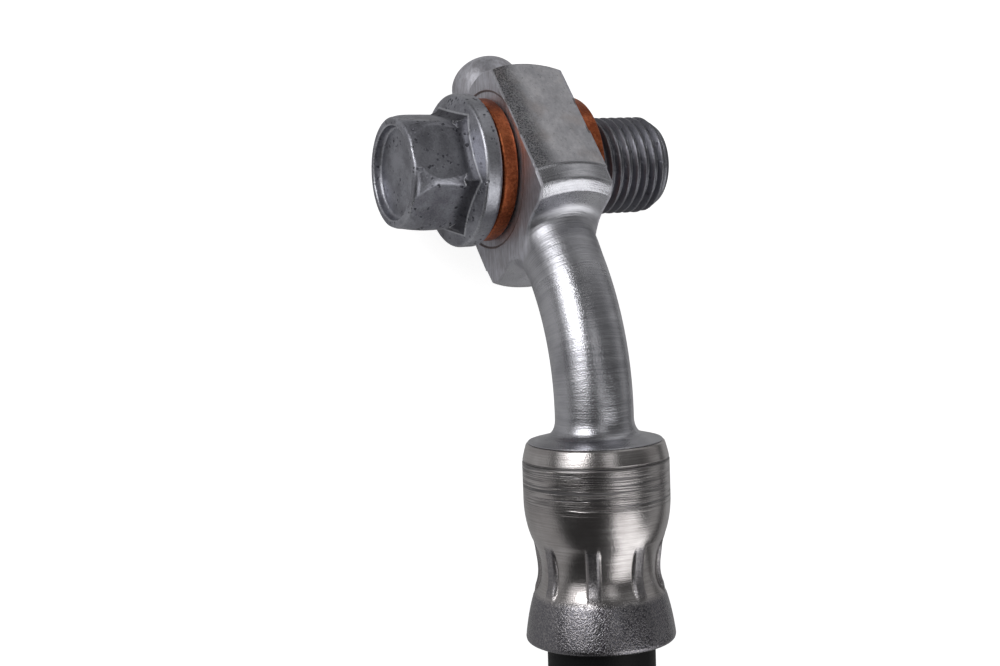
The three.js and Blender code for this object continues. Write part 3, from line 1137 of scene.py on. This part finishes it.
    def _thread(self, along: float, radius: float, angle: float) -> float:
        """Cuts the thread's groove into a point of the shank.

        Args:
            along: the point's place along the bolt.
            radius: its distance from the axis.
            angle: its angle round the axis.

        Returns:
            Its new distance from the axis.
        """
        turns = along / self.thread_pitch - angle / WHOLE_TURN
        wave = abs((turns % 1.0) - 0.5) * 2
        depth = self.thread_depth * min(1.0, max(0.0, (wave - self.crest_share) / (1 - 2 * self.crest_share)))
        fade = min(1.0, (along - SIZES.block_width / 2 - self.thread_start) / self.thread_fade)
        return min(radius, SIZES.thread_radius - depth * fade)

    def _shape(self, place: Vector) -> Vector:
        """Presses the hexagon into the head and cuts the thread into the shank.

        Args:
            place: a point of the turned body.

        Returns:
            Where it goes.
        """
        radius = math.hypot(place.y, place.z)
        angle = math.atan2(place.z, place.y)
        on_head = self.face - SLACK <= place.x < self.ridge - NEARLY_NONE
        if on_head and radius > self.recess_radius:
            return reach_out(place, "yz", radius, self._hexagon(place, radius, angle))
        if place.x > SIZES.block_width / 2 + self.thread_start and radius > self.thread_inner:
            return reach_out(place, "yz", radius, self._thread(place.x, radius, angle))
        return place

    def build(self, seat: Seat) -> bpy.types.Object:
        """Models and dresses the bolt.

        Args:
            seat: seat of the banjo end.

        Returns:
            The bolt.
        """
        body = Maker.along_bolt(Maker.turned(self._outline(), self.steps))
        Maker.move(body, self._shape)
        piece = Maker.link("bolt_body", body, seat, crease=28.0)
        reach = self.apothem + self.hex_fillet
        finish = DarkPlate().material(seat, SIZES.washer_outer, self.base, reach, self.hex_turn)
        Maker.dress(piece, finish, Slot.DARK_STEEL, "banjo_bolt")
        return piece


@dataclass
class Washer:
    """Copper sealing washer on one side of the eye."""

    name: str
    node: str
    side: int
    radius: float = 7.13
    edge: float = 0.3
    steps: int = 128

    def build(self, seat: Seat) -> bpy.types.Object:
        """Models and dresses the washer.

        Args:
            seat: seat of the banjo end.

        Returns:
            The washer.
        """
        thick, bore = SIZES.washer_thickness, SIZES.thread_radius + SIZES.clearance
        outline = Outline(bore, 0.0, step=0.6).line(self.radius - self.edge, 0.0)
        outline.curve(self.radius, 0.0, self.radius, self.edge, step=0.08)
        outline.line(self.radius, thick - self.edge, step=0.3)
        outline.curve(self.radius, thick, self.radius - self.edge, thick, step=0.08)
        outline.line(bore, thick).line(bore, 0.0)
        body = Maker.along_bolt(Maker.turned(outline, self.steps))
        start = SIZES.washer_inner if self.side > 0 else -SIZES.washer_outer
        bmesh.ops.translate(body, vec=(start, 0, 0), verts=body.verts)
        piece = Maker.link(self.name, body, seat)
        Maker.dress(piece, Copper().material(seat), Slot.COPPER, self.node)
        return piece


@dataclass
class BanjoFitting:
    """Eye block, stub, collar, bent stem, crown and nipple, turned from one bar.

    Attributes:
        block_margin: how far the bar passes the block's corners.
        root_fillet: fillet where the stub meets the block.
        collar_lead: where the bar starts to rise to the collar, before it.
        block_gap: how far before the collar the milled block ends.
        neck_length: how far past the bend's start the neck has narrowed to the stem.
    """

    stub_radius: float = 3.7
    stub_straight: float = 11.0
    stub_dome: float = 3.2
    end_at: float = 6.2
    end_depth: float = 2.2
    end_inner: float = 5.2
    end_bulge: float = 2.3
    block_margin: float = 0.1
    root_fillet: float = 0.7
    collar_lead: float = 0.55
    block_gap: float = 0.3
    collar_at: float = 7.1
    collar_radius: float = 8.45
    collar_length: float = 1.75
    collar_chamfer: float = 0.6
    shoulder_radius: float = 7.2
    neck_fillet: float = 1.8
    neck_radius: float = 3.9
    neck_length: float = 2.0
    flare_width: float = 1.1
    flare_rise: float = 0.5
    steps: int = 176
    bore_steps: int = 128

    def _outline(self) -> Outline:
        """Outline along the bar and the stem, as if the stem were straight.

        Returns:
            The outline.
        """
        corner = math.hypot(SIZES.block_width, SIZES.block_height) / 2 + self.block_margin
        tip, block_end = -self.stub_straight - self.stub_dome, -self.end_at - self.end_depth
        stub, dome = self.stub_radius, self.stub_dome
        outline = Outline(0.0, tip, step=0.25)
        outline.curve(stub * 0.72, tip, stub * 0.94, tip + dome * 0.55, step=0.2)
        outline.curve(stub, tip + dome * 0.75, stub, tip + dome, step=0.2)
        outline.line(stub, block_end - self.root_fillet)
        outline.curve(stub, block_end, self.end_inner, block_end, step=0.15)
        outline.curve(self.end_inner + self.end_bulge, -self.end_at - self.end_depth * 0.72,
                      corner, -self.end_at, step=0.12)
        outline.line(corner, self.collar_at - self.collar_lead, step=0.4)
        outline.line(corner, self.collar_at - self.block_gap, step=0.1)
        outline.line(self.collar_radius, self.collar_at, step=0.08)
        collar_end = self.collar_at + self.collar_length
        outline.line(self.collar_radius - 0.1, collar_end - 0.2, step=0.15)
        outline.curve(self.collar_radius - 0.15, collar_end, self.collar_radius - 0.5, collar_end + 0.2,
                      step=0.08)
        shoulder = collar_end + self.collar_chamfer
        outline.line(self.shoulder_radius, shoulder, step=0.1)
        outline.line(self.neck_radius + self.neck_fillet, shoulder, step=0.12)
        outline.curve(self.neck_radius, shoulder, self.neck_radius, shoulder + self.neck_fillet, step=0.12)
        outline.line(SIZES.stem_radius, SIZES.bend_start + self.neck_length, step=0.3)
        stem_end = SIZES.bend_start + SIZES.bend_length + SIZES.stem_straight
        outline.line(SIZES.stem_radius, stem_end, step=0.35)
        seat = stem_end + SIZES.crown_fillet + SIZES.crown_thickness
        outline.curve(SIZES.stem_radius + 0.1, seat - self.flare_rise * 1.4,
                      SIZES.stem_radius + self.flare_width, seat - self.flare_rise, step=0.12)
        outline.line(SIZES.crown_radius - 0.1, seat - 0.12, step=0.15)
        outline.curve(SIZES.crown_radius, seat - 0.1, SIZES.crown_radius, seat, step=0.06)
        root_end = seat + SIZES.root_length
        outline.line(SIZES.nipple_root, seat, step=0.6).line(SIZES.nipple_root, root_end, step=0.6)
        outline.line(SIZES.nipple_radius, root_end, step=0.8)
        outline.line(SIZES.nipple_radius, seat + SIZES.nipple_length, step=1.5)
        outline.line(0.0, seat + SIZES.nipple_length, step=0.6)
        return outline

    def _flatten(self, place: Vector) -> Vector:
        """Mills the top and bottom of the block flat.

        Args:
            place: a point of the straight bar.

        Returns:
            Where it goes.
        """
        half = SIZES.block_height / 2
        if place.y < self.collar_at - self.block_gap + SLACK and abs(place.z) > half:
            place.z = math.copysign(half, place.z)
        return place

    @staticmethod
    def _bend(place: Vector) -> Vector:
        """Carries a point of the straight bar to the bent one.

        Args:
            place: a point of the straight bar.

        Returns:
            Where it goes.
        """
        run, angle = place.y, SIZES.stem_angle
        if run < SIZES.bend_start:
            left = angle
            middle = Vector((0.0, -run * math.cos(angle), run * math.sin(angle)))
        else:
            left = max(0.0, angle - (run - SIZES.bend_start) / SIZES.bend_radius)
            middle = Vector((0.0, -SIZES.bend_end + SIZES.bend_radius * math.sin(left),
                             SIZES.stem_offset - SIZES.bend_radius * (1 - math.cos(left))))
            middle.y -= max(0.0, run - SIZES.bend_start - SIZES.bend_length)
        return middle + Vector((place.x, -place.z * math.sin(left), -place.z * math.cos(left)))

    def _cutter(self, seat: Seat) -> bpy.types.Object:
        """The eye's bore with a shallow spot face on each side.

        Args:
            seat: seat of the banjo end.

        Returns:
            The body that is cut away.
        """
        face, far = SIZES.block_width / 2 - SIZES.spot_depth / 2, SIZES.block_width
        bore = SIZES.thread_radius + SIZES.clearance
        outline = Outline(0.0, -far, step=3.0).line(SIZES.spot_radius, -far).line(SIZES.spot_radius, -face)
        outline.line(bore, -face).line(bore, face)
        outline.line(SIZES.spot_radius, face).line(SIZES.spot_radius, far).line(0.0, far)
        return Maker.link("eye_cutter", Maker.along_bolt(Maker.turned(outline, self.bore_steps)), seat)

    def build(self, seat: Seat) -> bpy.types.Object:
        """Models and dresses the fitting.

        Args:
            seat: seat of the banjo end.

        Returns:
            The fitting.
        """
        body = Maker.turned(self._outline(), self.steps)
        Maker.move(body, self._flatten)
        for side in (-1, 1):
            block = [face for face in body.faces if face.calc_center_median().y < SIZES.bend_start]
            edges = {edge for face in block for edge in face.edges}
            verts = {vertex for face in block for vertex in face.verts}
            cut = bmesh.ops.bisect_plane(body, geom=list(verts) + list(edges) + block,
                                         plane_co=(side * SIZES.block_width / 2, 0, 0),
                                         plane_no=(side, 0, 0), clear_outer=True)
            rim = [item for item in cut["geom_cut"] if isinstance(item, bmesh.types.BMEdge)]
            bmesh.ops.edgenet_fill(body, edges=rim)
        Maker.move(body, self._bend)
        piece = Maker.link("fitting_body", body, seat)
        Maker.carve(piece, self._cutter(seat))
        Maker.dress(piece, BlockPlate().material(seat), Slot.BRIGHT_STEEL, "banjo_fitting")
        return piece


@dataclass
class Ferrule:
    """Ferrule crimped on the hose by eight jaws, with a flared skirt.

    Attributes:
        name: name of its piece.
        node: solid it replaces.
        offset: how far its axis lies from the seat's, along Z.
        seat_at: how far its top lies from the seat, against Y.
        rib_ramp: half the width of a rib's flank.
        rib_lead: how far a rib takes to rise at its upper end.
        rib_tail: how far it takes at its lower end.
    """

    name: str
    node: str
    offset: float
    seat_at: float
    top_radius: float = 6.6
    top_rounding: float = 0.12
    radius: float = 7.09
    length: float = 19.35
    crimp_start: float = 5.3
    waist_at: float = 12.45
    waist_radius: float = 5.6
    crimp_end: float = 14.9
    end_radius: float = 6.46
    skirt_radius: float = 7.26
    mouth_rounding: float = 0.5
    hose_radius: float = 5.25
    crimped_radius: float = 4.35
    jaws: int = 8
    rib_width: float = 1.1
    rib_height: float = 0.32
    rib_turn: float = math.radians(10.2)
    rib_from: float = 8.8
    rib_to: float = 15.0
    rib_lead: float = 2.4
    rib_tail: float = 1.2
    rib_ramp: float = 0.22
    top_gap: float = 0.03
    crease_at: float = 1.7
    crease_depth: float = 0.24
    steps: int = 256

    def _outline(self) -> Outline:
        """Outline from the top over the crimp to the mouth and back inside.

        Returns:
            The outline.
        """
        wall, crimped = self.hose_radius + SIZES.clearance, self.crimped_radius + SIZES.clearance
        top, hole = self.top_gap, SIZES.nipple_root + SIZES.clearance
        inside = top + SIZES.ferrule_wall
        outline = Outline(hole, top, step=0.3).line(self.top_radius - self.top_rounding, top)
        outline.curve(self.top_radius, top, self.top_radius + 0.1, top + 0.16, step=0.05)
        outline.curve(self.radius - 0.18, top + 0.85, self.radius - 0.04, self.crease_at - 0.12, step=0.1)
        outline.line(self.radius - self.crease_depth, self.crease_at, step=0.05)
        outline.line(self.radius, self.crease_at + 0.14, step=0.05)
        outline.line(self.radius, self.crimp_start, step=0.25)
        middle = (self.radius + self.waist_radius) / 2
        outline.curve(self.radius, self.crimp_start + 2.3, middle, self.waist_at - 3.1, step=0.2)
        outline.curve(self.waist_radius, self.waist_at - 1.8, self.waist_radius, self.waist_at, step=0.15)
        outline.curve(self.waist_radius, self.waist_at + 1.3, self.end_radius, self.crimp_end, step=0.12)
        mouth = self.length - self.mouth_rounding
        outline.curve(self.skirt_radius - 0.25, self.crimp_end + 1.8, self.skirt_radius, mouth, step=0.25)
        outline.curve(self.skirt_radius, self.length, self.skirt_radius - self.mouth_rounding, self.length,
                      step=0.08)
        outline.line(wall, self.length, step=0.3).line(wall, self.crimp_end, step=1.0)
        outline.line(crimped, self.waist_at + 1, step=1.0).line(crimped, self.waist_at - 1, step=1.0)
        outline.line(wall, self.crimp_start, step=2.0).line(wall, inside, step=2.0)
        outline.line(hole, inside, step=1.0).line(hole, top, step=1.0)
        return outline

    def _press(self, place: Vector) -> Vector:
        """Leaves a rib between each pair of jaws.

        Args:
            place: a point of the turned body.

        Returns:
            Where it goes.
        """
        radius = math.hypot(place.x, place.z)
        inside = radius < self.hose_radius + SIZES.clearance + 2 * SLACK
        if inside or not self.rib_from < place.y < self.rib_to:
            return place
        angle = math.atan2(place.x, -place.z) - self.rib_turn
        spacing = WHOLE_TURN / self.jaws
        across = ((angle + spacing / 2) % spacing - spacing / 2) * radius
        edge = smooth((self.rib_width / 2 + 0.12 - abs(across)) / self.rib_ramp)
        rise = min(1.0, (place.y - self.rib_from) / self.rib_lead)
        rise = smooth(rise * min(1.0, (self.rib_to - place.y) / self.rib_tail))
        return reach_out(place, "xz", radius, radius + self.rib_height * edge * rise)

    def build(self, seat: Seat) -> bpy.types.Object:
        """Models and dresses the ferrule.

        Args:
            seat: seat that it lies on.

        Returns:
            The ferrule.
        """
        body = Maker.turned(self._outline(), self.steps)
        Maker.move(body, self._press)
        bmesh.ops.translate(body, vec=(0, self.seat_at, 0), verts=body.verts)
        bmesh.ops.rotate(body, cent=(0, 0, 0), matrix=Matrix.Rotation(math.pi, 3, "X"), verts=body.verts)
        bmesh.ops.translate(body, vec=(0, 0, self.offset), verts=body.verts)
        piece = Maker.link(self.name, body, seat, crease=40.0)
        finish = FerrulePlate(ferrule=self).material(seat)
        Maker.dress(piece, finish, Slot.FERRULE_STEEL, self.node)
        return piece


@dataclass
class EndFitting:
    """Female hexagon end fitting with a clip groove and a threaded port.

    Attributes:
        hex_chamfer: height of the chamfer on the hexagon's corners.
        thread_runout: plain stretch of the port below its thread.
    """

    hex_corner: float = 8.5
    hex_length: float = 9.0
    hex_chamfer: float = 0.75
    corner_blend: float = 0.1
    body_radius: float = 6.9
    body_length: float = 9.5
    groove_radius: float = 5.9
    groove_width: float = 2.2
    groove_at: float = 3.2
    port_radius: float = 4.6
    port_depth: float = 12.5
    seat_depth: float = 1.4
    chamfer: float = 0.6
    bore_radius: float = 1.25
    bore_end: float = -4.0
    bore_tip: float = 0.4
    thread_pitch: float = 1.0
    thread_depth: float = 0.42
    thread_runout: float = 0.5
    steps: int = 144

    @property
    def start(self) -> float:
        """Where the hexagon starts."""
        return SIZES.crown_thickness + SIZES.crown_fillet

    @property
    def hexagon_end(self) -> float:
        """Where the hexagon ends."""
        return self.start + self.hex_length

    @property
    def face(self) -> float:
        """Where the port's face lies."""
        return self.hexagon_end + self.body_length

    @property
    def apothem(self) -> float:
        """Distance from the axis to the hexagon's flats."""
        return self.hex_corner * math.cos(SIXTH_TURN / 2)

    def _outline(self) -> Outline:
        """Outline from the nipple's end over the hexagon to the port and its seat.

        Returns:
            The outline.
        """
        start, hexagon_end, face, flats = self.start, self.hexagon_end, self.face, self.apothem - 0.1
        nipple, root = SIZES.nipple_radius, SIZES.nipple_root
        crown, stem = SIZES.crown_radius, SIZES.stem_radius
        outline = Outline(0.0, -SIZES.nipple_length, step=0.6).line(nipple, -SIZES.nipple_length)
        outline.line(nipple, -SIZES.root_length, step=2.0).line(root, -SIZES.root_length).line(root, 0.0)
        outline.line(crown, 0.0).curve(crown, 0.2, crown - 0.15, 0.25, step=0.08)
        outline.line(stem + SIZES.crown_fillet, SIZES.crown_thickness, step=0.2)
        outline.curve(stem, SIZES.crown_thickness, stem, start, step=0.12)
        outline.line(flats, start, step=0.3).line(self.hex_corner, start + self.hex_chamfer, step=0.08)
        outline.line(self.hex_corner, hexagon_end - self.hex_chamfer, step=0.5)
        outline.line(flats, hexagon_end, step=0.08).line(self.body_radius, hexagon_end, step=0.2)
        groove_start = hexagon_end + self.groove_at
        groove_end = groove_start + self.groove_width
        outline.line(self.body_radius, groove_start, step=0.4)
        outline.line(self.groove_radius, groove_start, step=0.2)
        outline.line(self.groove_radius, groove_end, step=0.4)
        outline.line(self.body_radius, groove_end, step=0.2)
        outline.line(self.body_radius, face - self.chamfer, step=0.4)
        outline.line(self.body_radius - self.chamfer, face, step=0.2)
        outline.line(self.port_radius + self.chamfer, face, step=0.3)
        outline.line(self.port_radius, face - self.chamfer, step=0.1)
        outline.line(self.port_radius, face - self.port_depth, step=0.09)
        outline.line(self.bore_radius, face - self.port_depth - self.seat_depth, step=0.5)
        outline.line(self.bore_radius, self.bore_end, step=2.0).line(0.0, self.bore_end - self.bore_tip)
        return outline

    def _shape(self, place: Vector) -> Vector:
        """Mills the hexagon and cuts the port's thread.

        Args:
            place: a point of the turned body.

        Returns:
            Where it goes.
        """
        radius, angle = math.hypot(place.x, place.z), math.atan2(place.z, place.x)
        if self.start - SLACK <= place.y <= self.hexagon_end + SLACK and radius > self.body_radius:
            around = angle % SIXTH_TURN - SIXTH_TURN / 2
            target = soft_least(radius, self.apothem / math.cos(around), self.corner_blend)
            return reach_out(place, "xz", radius, target)
        threaded = self.face - self.port_depth + self.thread_runout < place.y < self.face - self.chamfer
        if threaded and abs(radius - self.port_radius) < 2 * SLACK:
            turns = place.y / self.thread_pitch - angle / WHOLE_TURN
            target = radius + self.thread_depth * abs((turns % 1.0) - 0.5) * 2
            return reach_out(place, "xz", radius, target)
        return place

    def build(self, seat: Seat) -> bpy.types.Object:
        """Models and dresses the end fitting.

        Args:
            seat: seat of the female end.

        Returns:
            The end fitting.
        """
        body = Maker.turned(self._outline(), self.steps)
        Maker.move(body, self._shape)
        piece = Maker.link("end_fitting_body", body, seat, crease=28.0)
        Maker.dress(piece, TurnedPlate().material(seat), Slot.BRIGHT_STEEL, "end_fitting")
        return piece


@dataclass
class Hose:
    """The hose: one line from inside the first ferrule to inside the last.

    Attributes:
        radius: its radius, in metres.
        route: points chosen along its middle, in metres.
    """

    radius: float = 0.00525
    route: Sequence[Sequence[float]] = (
        (-0.000275, -0.028131, 0.013830), (-0.000275, -0.029452, 0.013549), (-0.000275, -0.043146, 0.010639),
        (-0.000075, -0.059452, 0.007900), (0.000325, -0.075452, 0.006100), (0.000925, -0.091452, 0.005400),
        (0.003325, -0.109452, 0.005300), (0.009225, -0.126452, 0.005300), (0.019225, -0.141452, 0.005300),
        (0.032725, -0.153452, 0.005300), (0.048725, -0.160452, 0.005300), (0.065725, -0.161952, 0.005300),
        (0.082725, -0.157452, 0.005300), (0.097225, -0.147452, 0.005300), (0.107725, -0.133452, 0.005300),
        (0.113725, -0.117452, 0.005300), (0.115925, -0.100452, 0.005300), (0.116525, -0.084452, 0.005600),
        (0.116725, -0.068452, 0.006800), (0.116725, -0.053452, 0.007381), (0.116725, -0.052102, 0.007381),
    )

    def build(self, far_pieces: Sequence[bpy.types.Object]) -> bpy.types.Object:
        """Args:
            far_pieces: the pieces on its far end; not used.

        Returns:
            The hose.
        """
        line = bpy.data.curves.new("hose_line", "CURVE")
        line.dimensions = "3D"
        line.bevel_depth = self.radius
        line.bevel_resolution = 10
        line.resolution_u = 16
        line.use_fill_caps = True
        spline = line.splines.new("BEZIER")
        spline.bezier_points.add(len(self.route) - 1)
        for point, place in zip(spline.bezier_points, self.route):
            point.co = place
            point.handle_left_type = "AUTO"
            point.handle_right_type = "AUTO"
        piece = bpy.data.objects.new("hose_tube", line)
        bpy.context.scene.collection.objects.link(piece)
        finish = Rubber().material(Seat(Vector(self.route[1])))
        Maker.dress(piece, finish, Slot.HOSE_RUBBER, "hose")
        return piece


@dataclass
class Studio:
    """Camera, floor, lamps and surroundings.

    Attributes:
        azimuth: heading of the view, in radians from +Y towards +X.
        elevation: how far the camera looks down, in radians.
        roll: turn of the camera about its own line of sight, in radians.
        distance: distance from the camera to the point it looks at, in millimetres.
        aim: that point, in millimetres from the middle of the eye.
        focal: focal length in pixels of a picture of the given width.
        picture_width: that width in pixels.
        sensor: width of the camera's sensor, in millimetres.
        floor_colour: colour of the floor.
        far_colour: colour that its far parts have in mirrored rays.
        mirror_from: distance at which the floor starts to darken in them, in metres.
        mirror_to: distance at which it is fully dark.
        floor_glow: light that the floor adds for the camera.
        ambient: strength of the surroundings for matt surfaces.
        view: axes of the camera, filled in when it is placed.
    """

    azimuth: float = math.radians(77.515)
    elevation: float = math.radians(62.909)
    roll: float = math.radians(-71.43)
    distance: float = 177.727
    aim: Sequence[float] = (-3.234, -16.188, -3.405)
    focal: float = 1750.0
    picture_width: float = 1000.0
    sensor: float = 36.0
    floor_colour: Sequence[float] = (0.55, 0.55, 0.55)
    far_colour: Sequence[float] = (0.1, 0.1, 0.1)
    mirror_from: float = 0.04
    mirror_to: float = 0.16
    floor_glow: float = 0.8
    ambient: float = 0.75
    view: Matrix = field(default_factory=Matrix)

    def camera(self, eye: Vector) -> None:
        """Places the camera.

        Args:
            eye: middle of the fitting's eye, in metres.
        """
        data = bpy.data.cameras.new("camera")
        data.sensor_width = self.sensor
        data.lens = self.focal * data.sensor_width / self.picture_width
        data.clip_start = 0.01
        level = math.cos(self.elevation)
        forward = Vector((math.sin(self.azimuth) * level, math.cos(self.azimuth) * level,
                          -math.sin(self.elevation)))
        upright = Vector((0, 0, 1)) - forward * forward.z
        up = (Matrix.Rotation(self.roll, 3, forward) @ upright.normalized()).normalized()
        right = forward.cross(up)
        camera = bpy.data.objects.new("camera", data)
        bpy.context.scene.collection.objects.link(camera)
        self.view = Matrix((right, up, -forward)).transposed()
        target = eye + Vector(self.aim) * MM
        camera.matrix_world = Matrix.Translation(target - forward * self.distance * MM) @ self.view.to_4x4()
        bpy.context.scene.camera = camera

    def floor(self) -> None:
        """Lays a wide pale floor that the camera sees as white, with the object's shadow."""
        mesh = bmesh.new()
        bmesh.ops.create_grid(mesh, x_segments=2, y_segments=2, size=3.0)
        data = bpy.data.meshes.new("floor")
        mesh.to_mesh(data)
        mesh.free()
        floor = bpy.data.objects.new("floor", data)
        bpy.context.scene.collection.objects.link(floor)
        material = bpy.data.materials.new("floor")
        material.use_nodes = True
        shader = Shader(material.node_tree)
        path = shader.node("ShaderNodeLightPath")
        seen = Value(shader.tree, path.outputs["Is Camera Ray"])
        place = shader.node("ShaderNodeTexCoord").outputs["Object"]
        reach = shader.value("ShaderNodeVectorMath", "Value", {"operation": "LENGTH"}, Vector=place)
        glossy = Value(shader.tree, path.outputs["Is Glossy Ray"])
        mirrored = glossy * reach.step(self.mirror_from, self.mirror_to)
        colour = shader.blend(mirrored, self.floor_colour, self.far_colour)
        matt = shader.node("ShaderNodeBsdfDiffuse", Color=colour)
        glow = shader.node("ShaderNodeEmission", Strength=seen * self.floor_glow)
        both = shader.node("ShaderNodeAddShader")
        shader.tree.links.new(matt.outputs[0], both.inputs[0])
        shader.tree.links.new(glow.outputs[0], both.inputs[1])
        output = shader.node("ShaderNodeOutputMaterial")
        shader.tree.links.new(both.outputs[0], output.inputs["Surface"])
        data.materials.append(material)

    def surroundings(self) -> None:
        """Lights the object from two bright cards, a strip and a pale room, set out as the camera faces."""
        world = bpy.data.worlds.new("studio")
        bpy.context.scene.world = world
        world.use_nodes = True
        shader = Shader(world.node_tree)
        direction = shader.node("ShaderNodeTexCoord").outputs["Generated"]
        axes = []
        for axis in self.view.col:
            node = shader.node("ShaderNodeVectorMath", {"operation": "DOT_PRODUCT"}, Vector=direction)
            node.inputs[1].default_value = axis
            axes.append(Value(shader.tree, node.outputs["Value"]))
        right, up, back = axes
        left_card = right.step(-0.12, -0.46) * right.step(-0.93, -0.8) * up.step(-0.25, 0.15)
        left_card = left_card * up.step(0.92, 0.55) * back.step(0.05, 0.3)
        right_card = right.step(0.32, 0.46) * right.step(0.92, 0.82)
        right_card = right_card * up.step(-0.12, -0.37) * back.step(-0.3, 0.0)
        strip = right.step(0.12, 0.24) * right.step(0.5, 0.38) * up.step(-0.08, 0.02) * up.step(0.6, 0.42)
        overhead = up.step(0.7, 0.9) * right.step(0.1, 0.4)
        shade = up.step(-0.08, -0.22) * right.step(0.2, 0.0) * back.step(0.1, 0.3)
        room = 0.13 + back.step(0.22, -0.15) * 0.26 + right.step(0.3, 0.8) * up.step(0.15, 0.45) * 0.12
        light = room * (1 - shade * 0.55) + left_card * 1.6 + right_card * 1.9 + strip * 0.8 + overhead * 0.5
        path = shader.node("ShaderNodeLightPath")
        camera_ray = Value(shader.tree, path.outputs["Is Camera Ray"])
        glossy_ray = Value(shader.tree, path.outputs["Is Glossy Ray"])
        strength = camera_ray + (1 - camera_ray) * (glossy_ray * light + (1 - glossy_ray) * self.ambient)
        background = shader.node("ShaderNodeBackground", Strength=strength)
        output = shader.node("ShaderNodeOutputWorld")
        shader.tree.links.new(background.outputs[0], output.inputs["Surface"])

    def lamp(self, name: str, toward: Sequence[float], size: float, power: float, eye: Vector) -> None:
        """Adds a soft lamp that faces the eye of the fitting.

        Args:
            name: the lamp's name.
            toward: its place as the camera sees it: right, up and back, in metres.
            size: side of the lamp, in metres.
            power: its power in watts.
            eye: middle of the fitting's eye, in metres.
        """
        data = bpy.data.lights.new(name, "AREA")
        data.size = size
        data.energy = power
        lamp = bpy.data.objects.new(name, data)
        bpy.context.scene.collection.objects.link(lamp)
        offset = self.view @ Vector(toward)
        lamp.location = eye + offset
        lamp.rotation_euler = offset.to_track_quat("Z", "Y").to_euler()

    def build(self, eye: Vector) -> None:
        """Sets up the whole studio.

        Args:
            eye: middle of the fitting's eye, in metres.
        """
        self.camera(eye)
        self.floor()
        self.surroundings()
        self.lamp("key", toward=(-0.35, 0.3, 0.55), size=0.3, power=1.5, eye=eye)
        bpy.context.scene.view_settings.view_transform = "Standard"


def banjo_seat() -> Seat:
    """Seat of the banjo end: the middle of the eye, from the two washers' places.

    Returns:
        The seat.
    """
    head_low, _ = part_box("head_washer")
    seat_low, seat_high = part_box("seat_washer")
    middle = (seat_low + seat_high) / 2
    return Seat(Vector(((head_low.x + seat_high.x) / 2, middle.y, middle.z)), REST_TILT)


def end_seat() -> Seat:
    """Seat of the female end: where its ferrule meets the fitting."""
    low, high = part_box("end_ferrule")
    return Seat(Vector(((low.x + high.x) / 2, high.y + SIZES.seat_gap * MM, (low.z + high.z) / 2)))


def main() -> None:
    """Builds the studio and every piece in order."""
    logging.basicConfig(level=logging.INFO)
    banjo, female = banjo_seat(), end_seat()
    Studio().build(banjo.origin)
    end_ferrule = Ferrule("end_ferrule_body", "end_ferrule", offset=0.0, seat_at=0.0)
    far_pieces = [end_ferrule.build(female), EndFitting().build(female)]
    Hose().build(far_pieces)
    BanjoBolt().build(banjo)
    Washer("washer_under_head", "head_washer", side=-1).build(banjo)
    Washer("washer_at_seat", "seat_washer", side=1).build(banjo)
    BanjoFitting().build(banjo)
    banjo_ferrule = Ferrule("banjo_ferrule_body", "banjo_ferrule", SIZES.stem_offset, SIZES.ferrule_seat)
    banjo_ferrule.build(banjo)
    bpy.context.view_layer.update()


if __name__ == "__main__":
    main()
